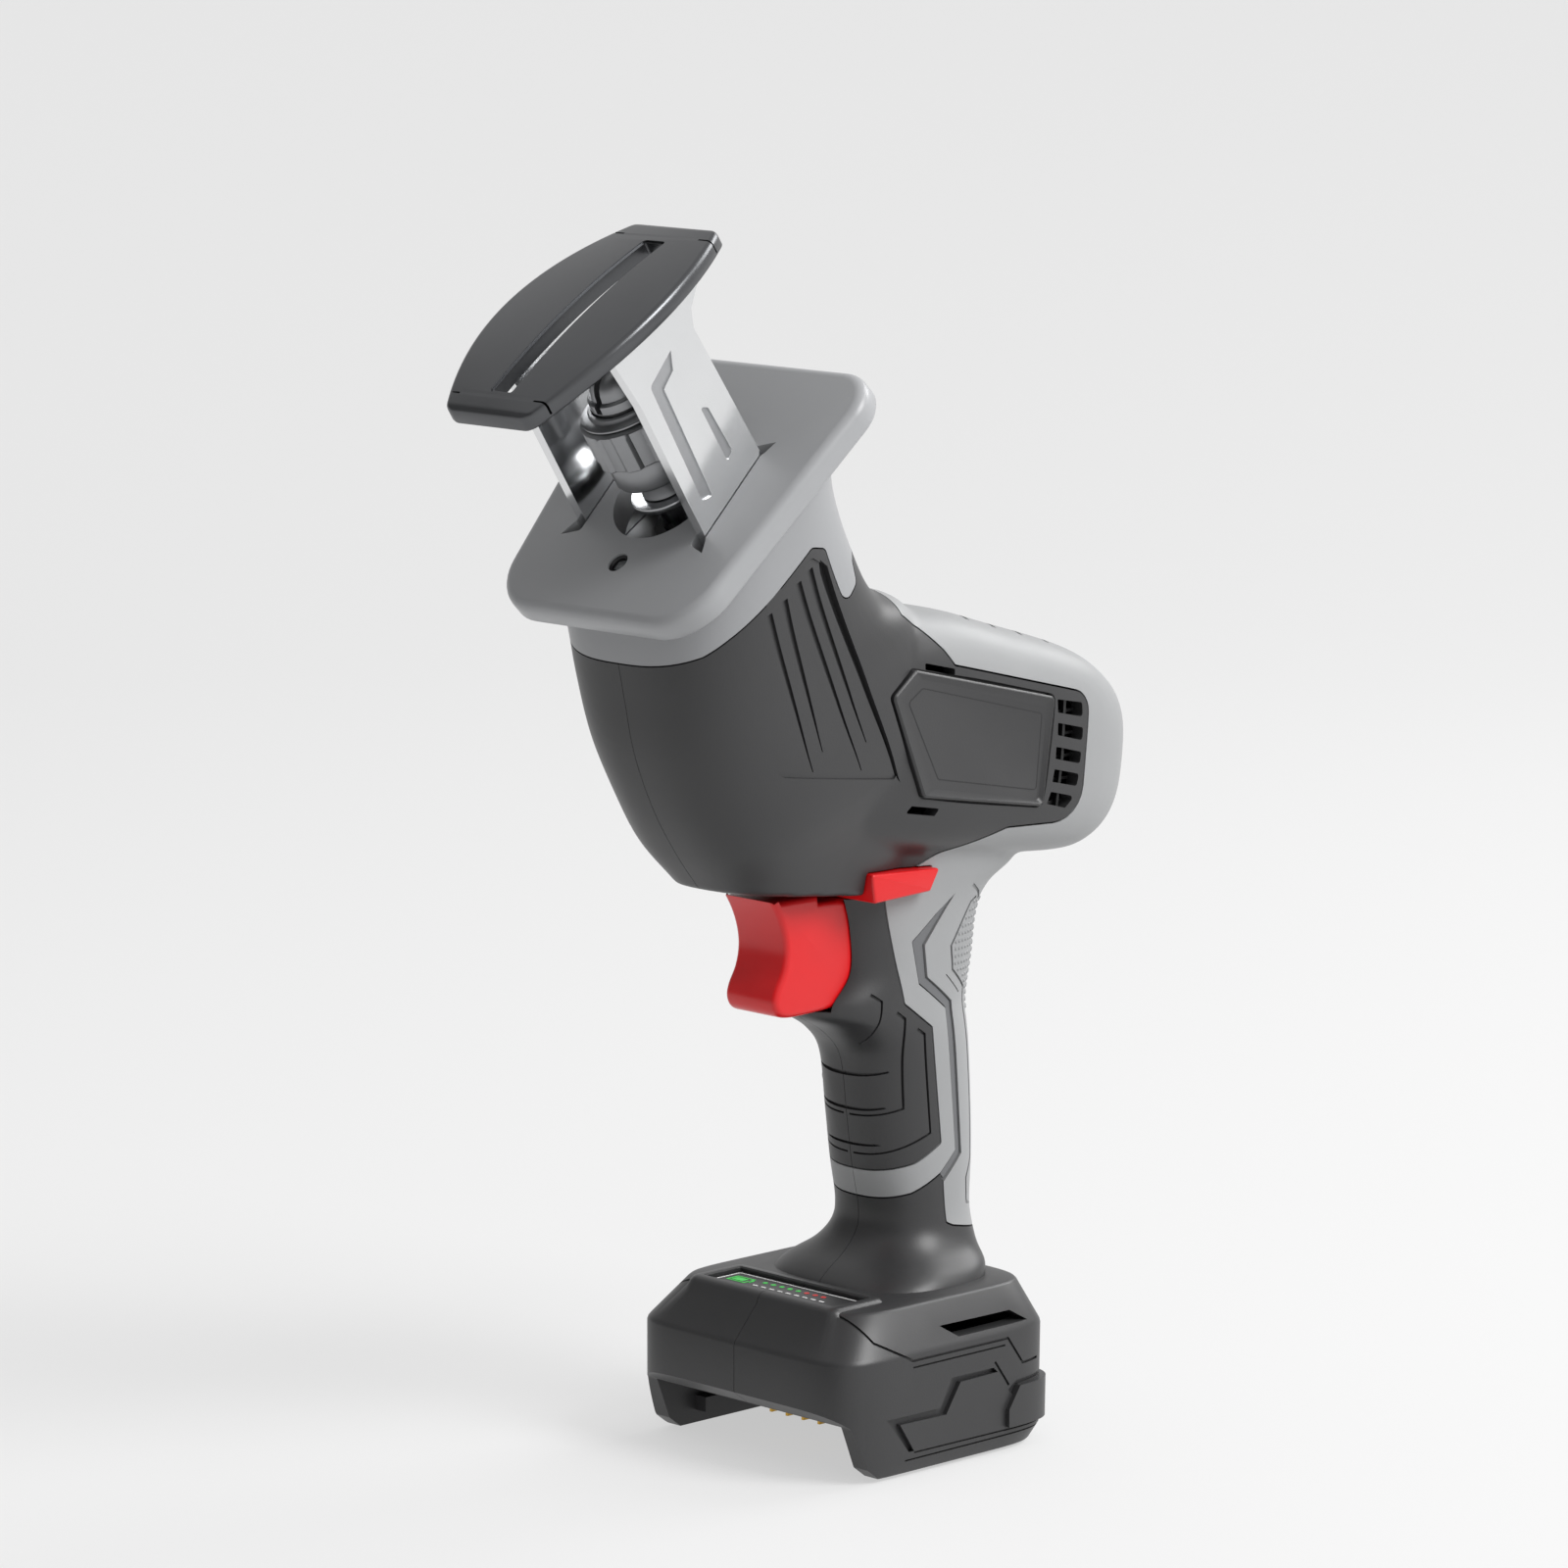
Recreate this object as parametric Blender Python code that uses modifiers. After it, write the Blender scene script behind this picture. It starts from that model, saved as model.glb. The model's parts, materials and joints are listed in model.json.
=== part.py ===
# Cordless reciprocating saw, bare tool, as separate pieces in metres with +Z up.
# X runs across the saw, the blade end points to -Y and up, and the battery foot stands on Z = 0.
# Lengths below are millimetres and angles are degrees.
import bpy
import bmesh
from math import atan2, cos, pi, radians, sin, tan
from mathutils import Matrix, Vector

MM = 0.001
FIT = 0.3                     # gap kept between pieces that touch or seat
WALL = 2.6                    # moulded housing wall

# Battery foot
FOOT_WIDTH = 82.0
FOOT_FRONT = -14.0            # Y of the foot's front face
FOOT_BACK = 66.0
FOOT_DECK = 42.3              # height of the deck above the ground
CHANNEL_HEIGHT = 14.5         # clear height of the battery channel
SKIRT_WALL = 6.3
RAIL_REACH = 4.0              # how far each rail reaches in from its skirt

# Handle
HANDLE_HALF_WIDTH = 17.0
HANDLE_BACK = 65.0
GRIP_SKIN = 1.8               # thickness of the soft overmould

# Motor and its barrel
MOTOR_PITCH = 10.0            # the motor's rear end points this far below level
BARREL_HALF_WIDTH = 28.5
BARREL_SIDE_WALL = 4.0
CAN_RADIUS = 21.5
CAN_LENGTH = 44.0
CAN_START = 48.0              # distance of the can's front from the crank axis
SHAFT_RADIUS = 2.0

# Crank drive
CRANK_Y = 4.0
CRANK_Z = 194.0
STROKE = 16.0
GEAR_TEETH = 32
PINION_TEETH = 8
GEAR_INNER = 20.0             # radius where the teeth start
GEAR_OUTER = 26.0
ROLLER_RADIUS = 3.0

# Blade drive and shoe, measured along the blade axis from the crank axis
BLADE_RISE = 57.0             # the blade axis above level
PLUNGER_RADIUS = 5.0
CHUCK_START = 74.0
SLEEVE_RADIUS = 13.0
SHOE_DISTANCE = 128.4         # outer face of the shoe's ends
SHOE_HALF_LENGTH = 38.7
SHOE_END_HALF_WIDTH = 15.0
SHOE_SWELL = 11.5             # how much wider each side is at the middle
SHOE_ARCH = 3.0
SHOE_THICKNESS = 4.5
LEG_OFFSET = 22.0
LEG_THICKNESS = 3.0
LEG_HALF_WIDTH = 14.0

# Front guard
GUARD_LOW_Y = -66.0           # middle of the guard's lower edge, on its outer face
GUARD_LOW_Z = 227.5
GUARD_RISE = 44.9             # slope of the guard's face
GUARD_LENGTH = 84.5
GUARD_LOW_HALF_WIDTH = 36.5
GUARD_HIGH_HALF_WIDTH = 46.5
GUARD_THICKNESS = 7.5
GUARD_HOLE = 16.0
LAMP_FROM_EDGE = 17.0
LAMP_RADIUS = 2.6

# Controls
TRIGGER_HALF_WIDTH = 9.5
TRIGGER_TRAVEL = 7.0
LOCK_TRAVEL = 4.0
LOCK_REACH = 21.5             # half the length of the lock bar across the handle

SCREW_RADIUS = 1.5
SCREW_HEAD = 3.0
SCREW_HEAD_HEIGHT = 2.1
SCREW_BOSS = 3.9


# Scene and collections

for old in list(bpy.data.objects):
    bpy.data.objects.remove(old, do_unlink=True)
sawGroup = bpy.data.collections.new("reciprocating_saw")
cutterGroup = bpy.data.collections.new("cutters")
bpy.context.scene.collection.children.link(sawGroup)
bpy.context.scene.collection.children.link(cutterGroup)


def material(name, color, roughness, metallic=0.0):
    made = bpy.data.materials.new(name)
    made.use_nodes = True
    shader = made.node_tree.nodes["Principled BSDF"]
    shader.inputs["Base Color"].default_value = (*color, 1.0)
    shader.inputs["Roughness"].default_value = roughness
    shader.inputs["Metallic"].default_value = metallic
    made.diffuse_color = (*color, 1.0)
    return made


darkPlastic = material("dark_plastic", (0.045, 0.045, 0.047), 0.5)
greyPlastic = material("grey_plastic", (0.27, 0.27, 0.27), 0.45)
redPlastic = material("red_plastic", (0.75, 0.02, 0.02), 0.35)
blackPlastic = material("black_plastic", (0.012, 0.012, 0.012), 0.5)
steel = material("steel", (0.55, 0.55, 0.56), 0.25, 1.0)
darkSteel = material("dark_steel", (0.16, 0.16, 0.17), 0.35, 1.0)
castMetal = material("cast_metal", (0.42, 0.42, 0.43), 0.5, 1.0)
copper = material("copper", (0.65, 0.28, 0.13), 0.35, 1.0)
brass = material("brass", (0.6, 0.42, 0.15), 0.35, 1.0)
carbon = material("carbon", (0.02, 0.02, 0.02), 0.7)
rubber = material("rubber", (0.015, 0.015, 0.015), 0.8)
clearLens = material("clear_lens", (0.75, 0.78, 0.8), 0.1)
circuitBoard = material("circuit_board", (0.01, 0.09, 0.03), 0.5)


# Frames. Each keeps X across the saw, except the side frame, which draws Y and Z.

def frame_along(y, z, rise):
    direction = Vector((0, -cos(radians(rise)), sin(radians(rise))))
    across = Vector((1, 0, 0))
    turn = Matrix((across, direction.cross(across), direction)).transposed().to_4x4()
    return Matrix.Translation(Vector((0, y, z)) * MM) @ turn


WORLD = Matrix.Identity(4)
SIDE = Matrix(((0, 0, 1, 0), (1, 0, 0, 0), (0, 1, 0, 0), (0, 0, 0, 1)))
CRANK = Matrix.Translation(Vector((0, CRANK_Y, CRANK_Z)) * MM) @ SIDE
BLADE = frame_along(CRANK_Y, CRANK_Z, BLADE_RISE)
MOTOR = frame_along(CRANK_Y, CRANK_Z, 180 + MOTOR_PITCH)
GUARD = frame_along(GUARD_LOW_Y, GUARD_LOW_Z, 90 - GUARD_RISE)


# Shape tools

def put(name, mesh, frame, look):
    piece = bpy.data.objects.new(name, mesh)
    piece.matrix_world = frame
    if look is None:
        cutterGroup.objects.link(piece)
        piece.hide_render = True
        piece.display_type = "WIRE"
    else:
        sawGroup.objects.link(piece)
        mesh.materials.clear()
        mesh.materials.append(look)
    return piece


def mesh_from(builder, name):
    mesh = bpy.data.meshes.new(name)
    builder.to_mesh(mesh)
    builder.free()
    return mesh


def box(name, x, y, z, frame=WORLD, look=None):
    builder = bmesh.new()
    bmesh.ops.create_cube(builder, size=1.0)
    size = Vector((x[1] - x[0], y[1] - y[0], z[1] - z[0])) * MM
    middle = Vector((x[1] + x[0], y[1] + y[0], z[1] + z[0])) * MM / 2
    bmesh.ops.scale(builder, vec=size, verts=builder.verts)
    bmesh.ops.translate(builder, vec=middle, verts=builder.verts)
    return put(name, mesh_from(builder, name), frame, look)


def rod(name, radius, low, high, frame=WORLD, look=None, at=(0, 0), sides=32):
    builder = bmesh.new()
    bmesh.ops.create_cone(builder, cap_ends=True, segments=sides, radius1=radius * MM,
                          radius2=radius * MM, depth=(high - low) * MM)
    middle = Vector((at[0], at[1], (high + low) / 2)) * MM
    bmesh.ops.translate(builder, vec=middle, verts=builder.verts)
    piece = put(name, mesh_from(builder, name), frame, look)
    smooth(piece)
    return piece


def turned(name, outline, frame=WORLD, look=None, sides=32, at=(0, 0)):
    # The outline is (radius, height) pairs, down the outer side and back up the inner one.
    mesh = bpy.data.meshes.new(name)
    points = [Vector((radius, 0, height)) * MM for radius, height in outline]
    count = len(points)
    open_ended = outline[0][0] == 0 and outline[-1][0] == 0
    edges = [(i, i + 1) for i in range(count - 1)]
    if not open_ended:
        edges.append((count - 1, 0))
    mesh.from_pydata(points, edges, [])
    shift = Matrix.Translation(Vector((at[0], at[1], 0)) * MM)
    piece = put(name, mesh, frame @ shift, look)
    screw = piece.modifiers.new("turn", "SCREW")
    screw.steps = sides
    screw.render_steps = sides
    screw.use_merge_vertices = True
    screw.merge_threshold = 0.00001
    freeze(piece)
    smooth(piece)
    return piece


def prism(name, outline, low, high, frame=SIDE, look=None):
    # A flat outline in the frame's X and Y, filled and drawn out along its Z.
    curve = bpy.data.curves.new(name, "CURVE")
    curve.dimensions = "2D"
    curve.fill_mode = "BOTH"
    curve.extrude = (high - low) / 2 * MM
    spline = curve.splines.new("POLY")
    spline.points.add(len(outline) - 1)
    for point, (x, y) in zip(spline.points, outline):
        point.co = (x * MM, y * MM, 0, 1)
    spline.use_cyclic_u = True
    drawn = put(name + "_outline", curve, frame, None)
    bpy.context.view_layer.update()
    shape = drawn.evaluated_get(bpy.context.evaluated_depsgraph_get())
    mesh = bpy.data.meshes.new_from_object(shape)
    bpy.data.objects.remove(drawn)
    builder = bmesh.new()
    builder.from_mesh(mesh)
    bmesh.ops.remove_doubles(builder, verts=builder.verts, dist=0.000005)
    bmesh.ops.translate(builder, vec=Vector((0, 0, (high + low) / 2 * MM)), verts=builder.verts)
    bmesh.ops.recalc_face_normals(builder, faces=builder.faces)
    return put(name, mesh_from(builder, name), frame, look)


def loft(name, rings, look=None, frame=WORLD):
    # A skin between rings of equal count, closed by a cap at each end.
    builder = bmesh.new()
    rows = [[builder.verts.new(Vector(point) * MM) for point in ring] for ring in rings]
    count = len(rows[0])
    for low, high in zip(rows, rows[1:]):
        for i in range(count):
            j = (i + 1) % count
            builder.faces.new((low[i], low[j], high[j], high[i]))
    builder.faces.new(rows[0])
    builder.faces.new(rows[-1])
    bmesh.ops.recalc_face_normals(builder, faces=builder.faces)
    piece = put(name, mesh_from(builder, name), frame, look)
    smooth(piece)
    return piece


def ring(front, back, half_width, power, count=24, flare=0.0):
    # A rounded section in the plane through X and the line from front to back.
    points = []
    for i in range(count):
        angle = 2 * pi * (i + 0.5) / count
        along = copysign_power(cos(angle), 2 / power)
        side = copysign_power(sin(angle), 2 / power)
        y = (front[0] + back[0]) / 2 + (back[0] - front[0]) / 2 * along
        z = (front[1] + back[1]) / 2 + (back[1] - front[1]) / 2 * along
        points.append((half_width * (1 + flare * along) * side, y, z))
    return points


def copysign_power(value, power):
    return (abs(value) ** power) * (1 if value > 0 else -1)


def inset(section, wall, side_wall=None):
    # The same section drawn in by a wall thickness.
    front, back, half_width, power = section[:4]
    line = Vector((back[0] - front[0], back[1] - front[1])).normalized() * wall
    near = (front[0] + line.x, front[1] + line.y)
    far = (back[0] - line.x, back[1] - line.y)
    return (near, far, half_width - (side_wall or wall), power, *section[4:])


def body_loft(name, sections, look=None):
    return loft(name, [ring(front, back, half, power, flare=(rest[0] if rest else 0.0))
                       for front, back, half, power, *rest in sections], look)


def rounded(outline, radii, steps=5):
    # The outline with each corner replaced by an arc of its radius.
    points = []
    count = len(outline)
    for i, corner in enumerate(outline):
        radius = radii[i] if isinstance(radii, (list, tuple)) else radii
        here = Vector(corner)
        before = (Vector(outline[i - 1]) - here).normalized()
        after = (Vector(outline[(i + 1) % count]) - here).normalized()
        half = before.angle(after) / 2
        if radius == 0 or half > pi / 2 - 0.02:
            points.append(tuple(here))
            continue
        center = here + (before + after).normalized() * radius / sin(half)
        first = here + before * radius / tan(half) - center
        last = here + after * radius / tan(half) - center
        start = atan2(first.y, first.x)
        sweep = (atan2(last.y, last.x) - start + pi) % (2 * pi) - pi
        for step in range(steps + 1):
            angle = start + sweep * step / steps
            points.append((center.x + radius * cos(angle), center.y + radius * sin(angle)))
    return points


def grown(outline, gap):
    # The outline pushed outwards by a gap, corner by corner.
    count = len(outline)
    area = sum(outline[i - 1][0] * outline[i][1] - outline[i][0] * outline[i - 1][1]
               for i in range(count))
    turn = 1 if area > 0 else -1
    points = []
    for i, corner in enumerate(outline):
        here = Vector(corner)
        before = (here - Vector(outline[i - 1])).normalized()
        after = (Vector(outline[(i + 1) % count]) - here).normalized()
        out_before = Vector((before.y, -before.x)) * turn
        out_after = Vector((after.y, -after.x)) * turn
        bisector = (out_before + out_after).normalized()
        reach = gap / max(0.3, bisector.dot(out_before))
        points.append(tuple(here + bisector * reach))
    return points


def combine(piece, other, operation, solver):
    modifier = piece.modifiers.new(operation.lower(), "BOOLEAN")
    modifier.operation = operation
    modifier.solver = solver
    modifier.object = other
    return piece


# The shells use the manifold solver, because their ribs and bosses graze curved walls.

def cut(piece, *others, solver="EXACT"):
    for other in others:
        combine(piece, other, "DIFFERENCE", solver)
    return piece


def join(piece, *others, solver="EXACT"):
    for other in others:
        combine(piece, other, "UNION", solver)
    return piece


def keep(piece, other, solver="EXACT"):
    return combine(piece, other, "INTERSECT", solver)


def freeze(piece):
    # The evaluated shape becomes the piece's own mesh.
    bpy.context.view_layer.update()
    shape = piece.evaluated_get(bpy.context.evaluated_depsgraph_get())
    mesh = bpy.data.meshes.new_from_object(shape)
    piece.modifiers.clear()
    piece.data = mesh
    return piece


def duplicate(piece, name, look=None):
    return put(name, piece.data.copy(), piece.matrix_world.copy(), look)


def mirrored(piece, name, look):
    # The same piece on the other side of X = 0.
    builder = bmesh.new()
    builder.from_mesh(piece.data)
    bmesh.ops.transform(builder, matrix=Matrix.Scale(-1, 4, (1, 0, 0)) @ piece.matrix_world,
                        verts=builder.verts)
    bmesh.ops.reverse_faces(builder, faces=builder.faces)
    return put(name, mesh_from(builder, name), WORLD, look)


def smooth(piece, angle=35.0):
    piece.data.shade_smooth()
    piece.data.set_sharp_from_angle(angle=radians(angle))


# Outer form. Each section is (front point, back point, half width, squareness, flare).

def guard_point(along, depth):
    point = GUARD @ (Vector((0, along, depth)) * MM)
    return (point.y / MM, point.z / MM)


def shifted(section, dy, dz):
    (front_y, front_z), (back_y, back_z), *rest = section
    return ((front_y + dy, front_z + dz), (back_y + dy, back_z + dz), *rest)


COLLAR_INSET = 5.0
collarTop = GUARD_THICKNESS + FIT
collarHalf = (GUARD_LOW_HALF_WIDTH + GUARD_HIGH_HALF_WIDTH) / 2 - COLLAR_INSET

NOSE = [
    (guard_point(COLLAR_INSET, -collarTop), guard_point(GUARD_LENGTH - COLLAR_INSET, -collarTop),
     collarHalf, 2.7, 0.1),
    ((-54.5, 216.0), (1.0, 261.0), 33.5, 2.8, 0.05),
    ((-52.0, 205.0), (9.5, 244.0), 31.5, 3.0, 0.0),
    ((-48.5, 190.0), (20.0, 229.0), 30.5, 3.0, 0.0),
    ((-42.0, 175.0), (36.0, 221.5), 29.5, 3.0, 0.0),
    ((-34.0, 162.5), (50.0, 192.0), 27.5, 3.2, 0.0),
    ((-26.0, 152.5), (36.0, 145.5), 18.0, 3.0, 0.0),
]
BARREL = [
    ((0.0, 160.0), (8.0, 223.0), 26.0, 4.0),
    ((35.0, 155.5), (41.0, 220.5), BARREL_HALF_WIDTH, 4.0),
    ((60.0, 153.0), (67.0, 213.5), BARREL_HALF_WIDTH, 4.0),
    ((84.0, 150.5), (91.0, 206.0), BARREL_HALF_WIDTH - 0.7, 4.0),
    ((97.0, 150.5), (104.0, 199.5), BARREL_HALF_WIDTH - 3.0, 3.5),
    ((107.0, 155.0), (111.5, 193.5), BARREL_HALF_WIDTH - 7.5, 3.0),
    ((112.5, 166.0), (114.7, 186.0), BARREL_HALF_WIDTH - 15.0, 2.5),
]
HANDLE = [
    ((12.0, 165.0), (88.0, 165.0), HANDLE_HALF_WIDTH + 3.5, 2.6),
    ((12.0, 151.0), (83.0, 151.0), HANDLE_HALF_WIDTH + 1.5, 2.6),
    ((13.5, 145.0), (73.0, 145.0), HANDLE_HALF_WIDTH + 0.5, 2.6),
    ((15.5, 138.0), (67.5, 138.0), HANDLE_HALF_WIDTH, 2.6),
    ((16.0, 126.0), (HANDLE_BACK + 0.3, 126.0), HANDLE_HALF_WIDTH, 2.6),
    ((8.0, 116.5), (HANDLE_BACK - 1.0, 115.0), HANDLE_HALF_WIDTH, 2.5),
    ((18.0, 109.5), (HANDLE_BACK - 1.0, 109.0), HANDLE_HALF_WIDTH, 2.5),
    ((24.5, 102.0), (HANDLE_BACK - 0.7, 102.0), HANDLE_HALF_WIDTH, 2.5),
    ((27.0, 86.0), (HANDLE_BACK, 86.0), HANDLE_HALF_WIDTH, 2.5),
    ((29.0, 72.0), (HANDLE_BACK, 72.0), HANDLE_HALF_WIDTH, 2.5),
    ((31.5, 60.0), (HANDLE_BACK - 1.0, 60.0), HANDLE_HALF_WIDTH, 2.5),
    ((30.5, 54.0), (HANDLE_BACK - 0.5, 54.0), HANDLE_HALF_WIDTH + 1.0, 2.5),
    ((26.0, 49.0), (HANDLE_BACK - 0.7, 49.0), HANDLE_HALF_WIDTH + 4.0, 2.6),
    ((20.0, 45.0), (HANDLE_BACK - 1.5, 45.0), HANDLE_HALF_WIDTH + 9.0, 2.8),
    ((16.0, FOOT_DECK - 1.5), (FOOT_BACK - 5.0, FOOT_DECK - 1.5), HANDLE_HALF_WIDTH + 11.0, 3.0),
]
footHalf = FOOT_WIDTH / 2
FOOT_SHOULDER = 31.5          # height where the deck's chamfer starts
FOOT_CHAMFER = 6.5
FOOT = [
    ((FOOT_FRONT + 0.5, 0.0), (FOOT_BACK - 3.5, 0.0), footHalf - 0.7, 7.0),
    ((FOOT_FRONT, 4.0), (FOOT_BACK - 0.5, 4.0), footHalf, 7.0),
    ((FOOT_FRONT, FOOT_SHOULDER), (FOOT_BACK, FOOT_SHOULDER), footHalf, 7.0),
    ((FOOT_FRONT + 2.0, FOOT_SHOULDER + 2.0), (FOOT_BACK - 0.5, FOOT_SHOULDER + 2.0), footHalf - 1.0, 7.0),
    ((FOOT_FRONT + 10.0, FOOT_DECK), (FOOT_BACK - 3.0, FOOT_DECK), footHalf - FOOT_CHAMFER, 6.0),
]

CORE_INSET = GRIP_SKIN + FIT
HANDLE_WALL = CORE_INSET + 2.2
FOOT_FLOOR = CHANNEL_HEIGHT + 2.8


def outer_form(name):
    form = body_loft(name, NOSE)
    join(form, body_loft("barrel_form", BARREL), body_loft("handle_form", HANDLE),
         body_loft("foot_form", FOOT))
    return freeze(form)


def cavity_form(name):
    mouth = [shifted(inset(NOSE[0], WALL), 0, 0)]
    lip = inset((guard_point(COLLAR_INSET, 2), guard_point(GUARD_LENGTH - COLLAR_INSET, 2),
                 collarHalf, 2.7, 0.1), WALL)
    nose = [inset(section, WALL) for section in NOSE[1:-1]]
    sole = shifted(inset(NOSE[-1], WALL), 0, WALL)
    form = body_loft(name, [lip, *mouth, *nose, sole])
    barrel = [inset(section, WALL, BARREL_SIDE_WALL) for section in BARREL[:-1]]
    barrel.append(shifted(inset(BARREL[-1], WALL), -WALL, 0))
    handle = [inset(section, HANDLE_WALL) for section in HANDLE[:-1]]
    handle.append(shifted(inset(HANDLE[-1], HANDLE_WALL), 0, -4 * WALL))
    foot_low, foot_high, foot_deck = (inset(FOOT[2], 3.4), inset(FOOT[2], 3.4), inset(FOOT[4], 3.0))
    foot = [shifted(foot_low, 0, FOOT_FLOOR - FOOT_SHOULDER), shifted(foot_high, 0, -1.0),
            shifted(foot_deck, 0, -WALL)]
    join(form, body_loft("barrel_room", barrel), body_loft("handle_room", handle),
         body_loft("foot_room", foot))
    return freeze(form)


# Parting lines, drawn in Y and Z and running right across the saw.

COVER_TOP = [(24.0, 221.0), (30.0, 217.0), (36.0, 211.0), (39.0, 207.0)]
COVER_END = [(84.0, 196.0), (88.0, 193.0), (89.4, 189.0), (88.0, 178.0), (86.5, 167.0), (83.5, 162.5),
             (77.0, 160.3)]
COVER_GRIP = [(60.0, 161.5), (41.0, 157.0), (24.7, 150.5), (31.7, 117.0), (41.6, 110.0), (45.0, 78.0),
              (37.7, 73.0), (24.0, 70.5), (24.0, 61.5), (34.0, 61.5), (46.0, 66.0), (52.0, 59.5)]
COVER_SPLIT = [(24.0, 250.0), *COVER_TOP, *COVER_END, *COVER_GRIP, (90.0, 59.5), (140.0, 140.0),
               (140.0, 250.0)]
COLLAR_SPLIT = [(-90.0, 212.0), (-54.0, 214.0), (-48.0, 217.5), (-43.0, 222.0), (-31.6, 231.5),
                (-18.5, 242.0), (-13.3, 243.4), (-9.7, 240.2), (-4.4, 231.4), (-0.9, 229.4),
                (1.8, 231.5), (2.4, 236.0), (6.4, 241.0), (40.0, 262.0), (40.0, 310.0), (-90.0, 310.0)]
REACH = footHalf + 20
SHELL = "MANIFOLD"


outerForm = outer_form("outer_form")
cavityForm = cavity_form("cavity_form")

channelHalf = footHalf - SKIRT_WALL
CHANNEL_END = FOOT_BACK - 6.0
channel = box("battery_channel", (-channelHalf, channelHalf), (FOOT_FRONT - 10, CHANNEL_END),
              (-5, CHANNEL_HEIGHT))
toeCut = prism("toe_cut", [(FOOT_FRONT - 20, -5), (0, -5), (-0.5, 0), (-4.5, 3),
                           (-9, CHANNEL_HEIGHT), (FOOT_FRONT - 0.5, 18.5), (FOOT_FRONT - 20, 18.5)],
               -REACH, REACH)


# Gearbox outline, drawn round the crank, along the blade and along the motor.

GEARBOX_RADIUS = GEAR_OUTER + 3.5
GEARBOX_LEFT = 13.0
GEARBOX_RIGHT = -20.5
COVER_PLATE = 3.0
POCKET_FLOOR = -13.5
BUSHING_SEAT = (36.0, 46.0)   # the front wall, along the blade axis
BEARING_SEAT = (28.0, 38.0)   # the rear wall, along the motor axis
PLUNGER_BAY = 15.0
SHAFT_BAY = 15.0


def gearbox_block(name, low, high, extra=0.0, look=None):
    block = rod(name, GEARBOX_RADIUS + extra, low, high, CRANK, look, sides=32)
    nose = box(name + "_nose", (low, high), (-PLUNGER_BAY - extra, PLUNGER_BAY + extra),
               (0, BUSHING_SEAT[1] + extra), BLADE)
    tail = box(name + "_tail", (low, high), (-SHAFT_BAY - extra, SHAFT_BAY + extra),
               (0, BEARING_SEAT[1] + extra), MOTOR)
    join(block, nose, tail)
    return freeze(block)


# The room for it is the same on both sides, because the housing halves mirror each other.
roomReach = max(-GEARBOX_RIGHT, GEARBOX_LEFT + COVER_PLATE + FIT) + FIT
gearboxRoom = gearbox_block("gearbox_room", -roomReach, roomReach, FIT)

# Housing halves, with ribs that hold the gearbox and the motor, and bosses for the screws

SCREW_PLACES = {
    "nose_screw_front": (-40.0, 197.0),
    "nose_screw_top": (8.5, 229.5),
    "handle_screw_top": (33.0, 160.5),
    "handle_screw_middle": (34.0, 94.0),
    "handle_screw_low": (40.0, 56.0),
    "foot_screw_front": (-1.0, 27.0),
    "foot_screw_back": (54.0, 27.0),
}
SCREW_TIP = 11.0
SCREW_LENGTH = 25.0
CAN_RIBS = (54.0, 78.0)
TAIL_RIB = 33.0
NOSE_RIB = 31.0
RIB = 2.0
RIB_DROP = 31.0               # how far the motor's ribs reach below its axis
VENT_COUNT = 5
VENT_PITCH = 5.9
VENT_HEIGHT = 3.7
VENT_LOW = 165.6
VENT_FRONT = 77.0
VENT_BACK = 86.0
BADGE = [(23.4, 207.3), (15.1, 200.9), (26.3, 173.6), (70.9, 166.1), (75.4, 194.9)]
BADGE_FLOOR = 26.8
BADGE_FACE = 29.0
LOCK_SECTION = [(15.0, 154.0), (40.0, 152.8), (36.5, 147.0), (16.0, 146.2)]
TRIGGER_TOP = 148.2
TRIGGER_LOW = 116.9
TRIGGER_BACK = 24.0
PANEL = ((-23.9, 23.9), (-1.4, 11.1))
PANEL_DEPTH = 1.2
CONNECTOR = ((-15.0, 15.0), (20.0, 50.0))
CONNECTOR_PLUG = ((-11.5, 11.5), (24.5, 45.5))


def housing_room(name):
    # The hollow inside both halves: the cavity less the ribs and the screw bosses.
    room = duplicate(cavityForm, name)
    for place in CAN_RIBS:
        rib = box(f"can_rib_{place}", (-REACH, REACH), (-60, RIB_DROP), (place, place + RIB), MOTOR)
        cut(rib, rod(f"can_seat_{place}", CAN_RADIUS + FIT, place - 5, place + 5, MOTOR, sides=24))
        cut(room, freeze(rib), solver=SHELL)
    tail = box("tail_rib", (-REACH, REACH), (-60, RIB_DROP), (TAIL_RIB, TAIL_RIB + RIB), MOTOR)
    nose = box("nose_rib", (-REACH, REACH), (-60, 60), (NOSE_RIB, NOSE_RIB + RIB), BLADE)
    for rib in (tail, nose):
        cut(rib, gearboxRoom)
        cut(room, freeze(rib), solver=SHELL)
    for place, (y, z) in SCREW_PLACES.items():
        cut(room, rod(place + "_boss", SCREW_BOSS, -REACH, REACH, SIDE, at=(y, z), sides=10), solver=SHELL)
    return freeze(room)


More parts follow.
